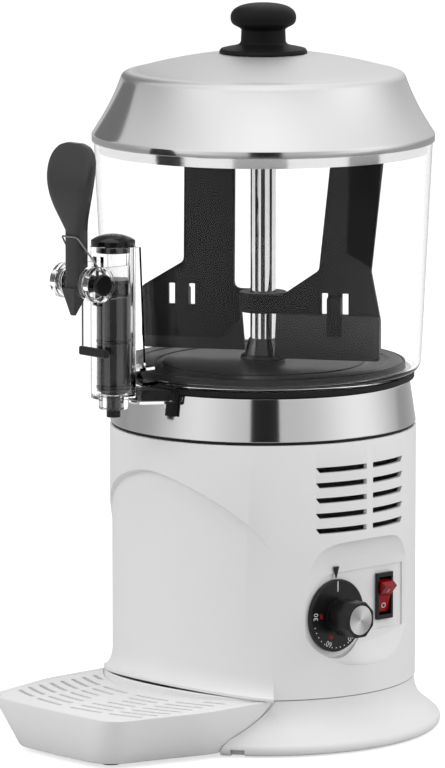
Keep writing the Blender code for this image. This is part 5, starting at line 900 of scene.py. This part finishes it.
# %% Lever's hub, tongue, arm and hook
lever = rod("fine_tap_lever", 5.4, -8, 8, 64, PIVOT, "X", 0.5)
tongue = loft("tongue", np.array([[(-half, front, z), (half, front, z), (half, back, z), (-half, back, z)]
                                  for half, front, back, z in ((1.6, -8.2, -6.6, -20),
                                                               (NECK_HALF, -11.8, 1.8, NECK_FOOT))]) + PIVOT)
NOSE = np.array((21.5, -5.0))
hook = rod("hook", 2.5, -3, 3, 32, (0, *(NOSE + PIVOT[1:])), "X", 0.4)
across = np.array((-NOSE[1], NOSE[0])) / math.hypot(*NOSE) * 1.5
arm_line = np.array([across, -across, NOSE - across, NOSE + across]) + PIVOT[1:]
combine(lever, [paddle, tongue, prism("arm", arm_line, -2.7, 2.7, "X"), hook], "UNION")
combine(lever, [rod("hole", 3, -12, 12, 48, PIVOT, "X")], angle=40)
dress(lever, LEVER, "tap_lever", "tap_lever", slot="black_plastic")


# %% Return spring
COIL, WIRE_HALF, BAIL_RISE, LEG_X = 8.9, 0.6, 29.4, 10


def wire_path(side):
    """Half of the spring: leg up from the bar, round the coil and up to the bail."""
    _, y, z = PIVOT
    bail = -9.2 - 2 * WIRE_HALF
    leave = math.atan2(BAIL_RISE, bail) - math.acos(COIL / math.hypot(bail, BAIL_RISE))
    turn = np.linspace(0, 2 * math.pi + leave, 97)
    coil = np.column_stack([side * (LEG_X + 1.7 * turn / (2 * math.pi)), y + COIL * np.cos(turn),
                            z + COIL * np.sin(turn)])
    leg = [(side * LEG_X, y + COIL, level) for level in (258.3, 279)]
    top = [(side * 7.4, y + bail + WIRE_HALF, z + BAIL_RISE - 0.6), (side * 6.2, y + bail, z + BAIL_RISE)]
    return np.vstack([leg, coil, top])


def wire(name, path):
    """Round wire along a path; one fixed direction keeps its skin from twisting."""
    along = np.gradient(path, axis=0)
    along /= np.linalg.norm(along, axis=1)[:, None]
    one = np.cross(along, (0.70711, 0.70711, 0.0))
    one /= np.linalg.norm(one, axis=1)[:, None]
    two = np.cross(along, one)
    a = np.linspace(0, 2 * np.pi, 12, endpoint=False)[None, :, None]
    skin = path[:, None] + WIRE_HALF * (np.cos(a) * one[:, None] + np.sin(a) * two[:, None])
    return loft(name, skin, angle=60)


spring = wire("fine_return_spring", np.vstack([wire_path(-1), wire_path(1)[::-1]]))
spring.data.materials.append(WIRE)
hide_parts("return_spring")
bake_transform(spring)

# %% [markdown]
# ## Lid
# Spun from sheet: a rolled band, a stepped neck, a long concave skirt, a tight shoulder and a shallow dome.
# The knob is a turned form with a wide flange, a waist and a domed cap, held by a screw from below.

# %% Lid
SHOULDER, BEND = np.array((90.8, 417.5)), 7.5
skirt = curve((109.1, 382.2), (105.5, 388), (97, 400), SHOULDER, 30)
bend_end = SHOULDER + (-BEND, BEND * 0.62)
shoulder = curve(SHOULDER, SHOULDER + (-0.8, BEND * 0.42), SHOULDER + (-BEND * 0.45, BEND * 0.62 - 0.4),
                 bend_end, 14)
dome_end = np.array((29, 433))
pull = (bend_end + dome_end) / 2 + (0, 2.4)
dome = curve(bend_end, mix(bend_end, pull, 2 / 3), mix(dome_end, pull, 2 / 3), dome_end, 24)
outside = np.vstack([[(108.9, 377.6), (109.2, 377.9), (109.2, 381.7)], skirt, shoulder[1:], dome[1:],
                     [(2.5, 433)]])
under = np.vstack([[(2.5, 432.1)], (dome - (0, 0.88))[::-1], (skirt[5:] - (0.72, 0.36))[::-1],
                   [(103.8, 382.3), (103.8, 371.2), (104.6, 371.2), (104.6, 381.5), (108.4, 381.5),
                    (108.4, 377.6)]])
turned("lid_shell", np.vstack([outside, under]), None, LID_STEEL, "lid", "steel", angle=38)

# %% Knob and its screw
KNOB, KNOB_TOP, KNOB_SIDE = 20.9, 465, 455.7
cap_line = curve((0, KNOB_TOP), (KNOB * 0.62, KNOB_TOP), (KNOB, mix(KNOB_SIDE, KNOB_TOP, 0.72)),
                 (KNOB, KNOB_SIDE), 20)
below = curve((KNOB, KNOB_SIDE), (KNOB, mix(KNOB_SIDE, 445, 0.55)),
              (mix(13.3, KNOB, 0.35), mix(KNOB_SIDE, 445, 0.45)), (14.0, 448), 14)
flange = curve((14.3, 441), (14.6, 437.6), (19, 438.0), (27.0, 435.9), 18)
knob = np.vstack([cap_line, below[1:], flange,
                  [(28, 434.2), (28, 433.3), (2.5, 433.3), (2.5, 445.3), (0, 445.3)]])
turned("lid_knob", knob, 0.5, DARK, "lid", "black_plastic", 128, least_turn=30)
screw = [(0, 445), (2.2, 445), (2.2, 431.8), (5.5, 431.8), (5.5, 429.6), (0, 429.6)]
turned("knob_screw", screw, 0.3, INNER_STEEL, "lid", "steel", 48)

# %% [markdown]
# ## Controls
# The dial's skirt carries printed numerals; its grip is an octagon with a pressed-in steel disc whose two
# bright fans are a painted sheen. The rocker stands proud at its upper half, which shows that it is switched
# to the lower mark.

# %% Printed marks
PRINT_LOW, PRINT_HIGH = 91.15, 91.21


def lettering(text, size, centre, turn=0.0, x=91.2, lean=0.0):
    """Flat marks on a face that looks towards +X, turned about that direction and leant up, made a mesh."""
    line = bpy.data.curves.new("mark", "FONT")
    line.body = text
    line.size = size
    line.align_x, line.align_y = "CENTER", "CENTER"
    line.extrude = (PRINT_HIGH - PRINT_LOW) / 2
    line.resolution_u = 3
    letter = in_scene("mark", line)
    mesh = final_mesh(letter)
    bpy.data.objects.remove(letter)
    stand = Matrix(((0, 0, 1, 0), (1, 0, 0, 0), (0, 1, 0, 0), (0, 0, 0, 1)))
    facing = Matrix.Rotation(-lean, 4, "Y") @ Matrix.Rotation(turn, 4, "X") @ stand
    mesh.transform(Matrix.Translation(AXIS) @ Matrix.Scale(MM, 4) @ Matrix.Translation((x, *centre)) @ facing)
    return in_scene("mark", mesh)


def around(angle, radius):
    """Place on the dial's face, clockwise from the top as seen from the controls' side."""
    spin = math.radians(angle)
    return DIAL[1] + radius * math.sin(spin), DIAL[2] + radius * math.cos(spin)


def numerals(size, radius, marks):
    """Numerals round the dial, each upright towards its centre."""
    return [lettering(text, size, around(angle, radius), -math.radians(angle)) for text, angle in marks]


# %% Dial
skirt_line = [(0, 95.3), (9.5, 95.3), (9.5, 91.1), (22.35, 91.1), (23.1, 90.35), (23.1, 88.1), (3.3, 88.1),
              (3.3, 99.8), (0, 99.8)]
dial = lathe("fine_dial", skirt_line, 0.3, 128, DIAL, "X")
GRIP = 12.2
octagon = soften(arc((0, 0), GRIP, 22.5, 382.5, 8)[:-1], 1.0, steps=3)
inset = 1 - 1 / GRIP
grip = loft("grip", [np.column_stack([np.full(len(octagon), x), octagon * grow + DIAL[1:]]) for x, grow in (
    (95.1, inset), (95.6, 0.965), (96.4, 1), (111.2, 1), (112.0, 0.975), (112.4, inset))], angle=28)
combine(grip, [rod("seat", 9.7, 110.9, 114, 96, DIAL, "X")], angle=28)
combine(dial, [grip], "UNION", 28)
combine(dial, [rod("bore", 3.3, 84, 99.8, 32, DIAL, "X")], angle=28)
dress(dial, BLACK, "dial", "dial", slot="black_plastic")
insert = [(0, 111.2), (9.4, 111.2), (9.4, 112.4), (0, 112.2)]
# Steel insert whose bright fans are a painted sheen in its colour.
turned("dial_insert", insert, 0.35, SHEEN_PAINTED_INSERT, "dial", "steel", 96, DIAL, "X")

# %% Marks on the dial
white_marks = [block("line", (PRINT_LOW, DIAL[1] - 0.4, 100.5), (PRINT_HIGH, DIAL[1] + 0.4, 107))]
white_marks += [prism("dot", arc(around(angle, 20.4), 0.42, 0, 330, 11), PRINT_LOW, PRINT_HIGH, "X")
                for angle in range(-106, -246, -10) if angle not in (-156, -216)]
white_marks += numerals(5.2, 18.8, (("30", -86), ("60", -156), ("90", -216)))
dress(joined("dial_numerals", white_marks), PRINT, "dial")
dress(joined("dial_red_numerals", numerals(3.6, 14.2, (("30", -86), ("60", -156)))), RED_PRINT, "dial")

# %% Pointer, switch, gland
dress(edged(copy_of("panel_pointer"), 0.2), BLACK, "machine", "panel_pointer", slot="black_plastic")
dress(edged(copy_of("switch_housing"), 0.3), GLOSS, "machine", "switch_housing", slot="black_plastic")
dress(edged(copy_of("switch_rocker", 20), 0.35, 22), RED, "rocker", "switch_rocker", slot="red_plastic")
rocker_x = (Vector(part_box("switch_housing")[1]) - AXIS).x / MM - 3.5
rocker_marks = [lettering(text, size, (SWITCH[0], SWITCH[1] + up), 0.0, rocker_x + out, -math.atan2(*slope))
                for text, size, up, out, slope in (("O", 5.0, -6.6, 1.73, (2.36, 10.97)),
                                                   ("I", 4.2, 3.3, 6.12, (6.15, 6.84)))]
dress(joined("rocker_marks", rocker_marks), PRINT, "rocker")
gland = [(3.6, 106.8), (5.8, 106.8), (8.5, 100.8), (10.5, 100.8), (10.5, 98.3), (8.5, 98.3), (8.5, 92),
         (3.6, 92)]
turned("cable_gland", gland, 0.4, BLACK, "machine", "black_plastic", 64, GLAND, "Y")

# %% Pieces kept as they are
KEPT = ((INNER_STEEL, ("base_plate", "heating_element", "plate_spacer_1", "plate_spacer_2", "plate_spacer_3",
                       "gearbox")),
        (RUBBER, ("deck_plate", "rubber_foot_1", "rubber_foot_2", "rubber_foot_3", "rubber_foot_4",
                  "tray_pad_left", "tray_pad_right")),
        (BRONZE, ("lower_bush", "upper_bush")), (DARK, ("motor", "thermostat")), (BRIGHT, ("drive_shaft",)))
for material, names in KEPT:
    for name in names:
        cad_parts[name].data.materials.clear()
        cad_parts[name].data.materials.append(material)
    print(material.name, "on", *names)

# %% [markdown]
# ## Studio
# A pale sweep and an even white surround, as in a shop picture, with large soft lamps on both sides and
# above. Dark cards stand round the machine and draw the upright streaks on ring, lid and column. Only a ray
# that has been mirrored meets them: to any other they are as clear as air, so none shows through the bowl.

# %% Floor
WHITE_LIGHT, GREY_LIGHT = (1.0, 1.0, 1.0), (0.8, 0.8, 0.8)


def seen(tree):
    """1 for what the camera sees, straight or through clear plastic, and 0 for light on its way."""
    return tree.ray("Is Camera Ray").math("MAXIMUM", tree.ray("Is Transmission Ray"))


def studio_sheet(name, points, faces):
    """Flat surface of the studio and the bare tree of its own new material."""
    mesh = bpy.data.meshes.new(name)
    mesh.from_pydata(points, [], faces)
    material = bpy.data.materials.new(name)
    mesh.materials.append(material)
    made = in_scene(name, mesh)
    return made, Tree(material, "Principled BSDF")


_, paper = studio_sheet("floor", [(-12, -12, 0), (12, -12, 0), (12, 12, 0), (-12, 12, 0)], [(0, 1, 2, 3)])
diffuse = paper.node("ShaderNodeBsdfDiffuse", Color=(0.62, 0.62, 0.62))
glow = paper.node("ShaderNodeEmission", Color=WHITE_LIGHT, Strength=0.68)
both = paper.node("ShaderNodeAddShader", sides=(diffuse, glow))
paper.close(paper.shaders(seen(paper), diffuse, both))

# %% Surround
world = bpy.data.worlds.new("surround")
bpy.context.scene.world = world
sky = Tree(world, "Background")
world.cycles.sampling_method = "NONE"
direction = sky.node("ShaderNodeTexCoord", output="Generated")
direction = direction * (1.0, 1.0, 0.0) + (direction * UP).math("ABSOLUTE")


def lobe(azimuth, rise, power):
    """Soft brightness about one direction: the cosine to it, not under zero, to a power."""
    flat = polar(math.cos(math.radians(rise)), azimuth)
    toward = direction.math("DOT_PRODUCT", (*flat, math.sin(math.radians(rise))))
    return toward.math("MAXIMUM", 0.0).math("POWER", power)


brightness = (0.54 + lobe(-7, 8, 8.0) * 0.6 + lobe(127, 8, 5.0) * 0.85 + lobe(47, 50, 3.0) * 0.6
              + lobe(227, 45, 3.0) * 0.55 + lobe(0, 90, 1.0) * 0.45)
lights = ((WHITE_LIGHT, 0.6), (GREY_LIGHT, brightness), (WHITE_LIGHT, 1.0))
even, mirrored, white = (sky.node("ShaderNodeBackground", Color=colour, Strength=strength)
                         for colour, strength in lights)
sky.close(sky.shaders(seen(sky), sky.shaders(sky.ray("Is Glossy Ray"), even, mirrored), white))


# %% Lamps
def lamp(name, azimuth, height, distance, size, power):
    """Soft square lamp aimed at the machine's middle."""
    light = bpy.data.lights.new(name, "AREA")
    light.shape = "RECTANGLE"
    light.size = light.size_y = size
    light.energy = power
    holder = in_scene(name, light)
    holder.location = Vector((*polar(distance, azimuth), height)) + AXIS
    aim = AXIS + Vector((0, 0, 0.22)) - holder.location
    holder.rotation_euler = aim.to_track_quat("-Z", "Y").to_euler()
    holder.visible_glossy = False


lamp("lamp_left", -25, 1.3, 2.2, 1.4, 18)
lamp("lamp_right", 125, 1.2, 2.2, 1.4, 17)
lamp("lamp_top", 47, 2.6, 0.6, 1.6, 19)


# %% Cards
CARD_DISTANCE = 1.5


def card(name, azimuth, width, low, high, tone, through=False):
    """Upright grey card on a circle round the machine; through lets it be mirrored behind clear plastic."""
    line = polar(CARD_DISTANCE, np.linspace(azimuth - width / 2, azimuth + width / 2, 9))
    points = [tuple(Vector((x, y, z)) + AXIS) for z in (low, high) for x, y in line]
    made, tree = studio_sheet(name, points, grid_faces(2, 9, wrap_columns=False).tolist())
    flat = tree.node("ShaderNodeEmission", Color=WHITE_LIGHT, Strength=tone)
    air = tree.node("ShaderNodeBsdfTransparent")
    tree.close(tree.shaders(tree.ray("Glossy Depth").math("MINIMUM", 1.0), air, flat))
    made.visible_camera = made.visible_diffuse = made.visible_shadow = made.visible_volume_scatter = False
    made.visible_transmission = through


card("card_front", 49, 21, 0.26, 0.9, 0.02)
card("card_lid_left", -98, 46, 0.5, 2.2, 0.2)
card("card_low_left", -18, 22, 0.0, 0.22, 0.01, through=True)
card("card_low_front", 45.5, 36, 0.0, 0.22, 0.05, through=True)
card("card_low_right", 120, 26, 0.0, 0.22, 0.01, through=True)

# %% Camera
AZIMUTH, DISTANCE, HEIGHT = 47.5, 4.0, 0.829
TILT, ASIDE = 8.65, 0.371
lens = bpy.data.cameras.new("camera")
lens.lens = 296.5
lens.sensor_fit = "VERTICAL"
lens.sensor_width = lens.sensor_height = 36
lens.clip_end = 60
camera = in_scene("camera", lens)
camera.location = Vector((*polar(DISTANCE, AZIMUTH), HEIGHT)) + AXIS
camera.rotation_euler = (math.radians(90 - TILT), 0, math.radians(AZIMUTH + ASIDE))
bpy.context.scene.camera = camera
bpy.context.scene.view_settings.view_transform = "Standard"
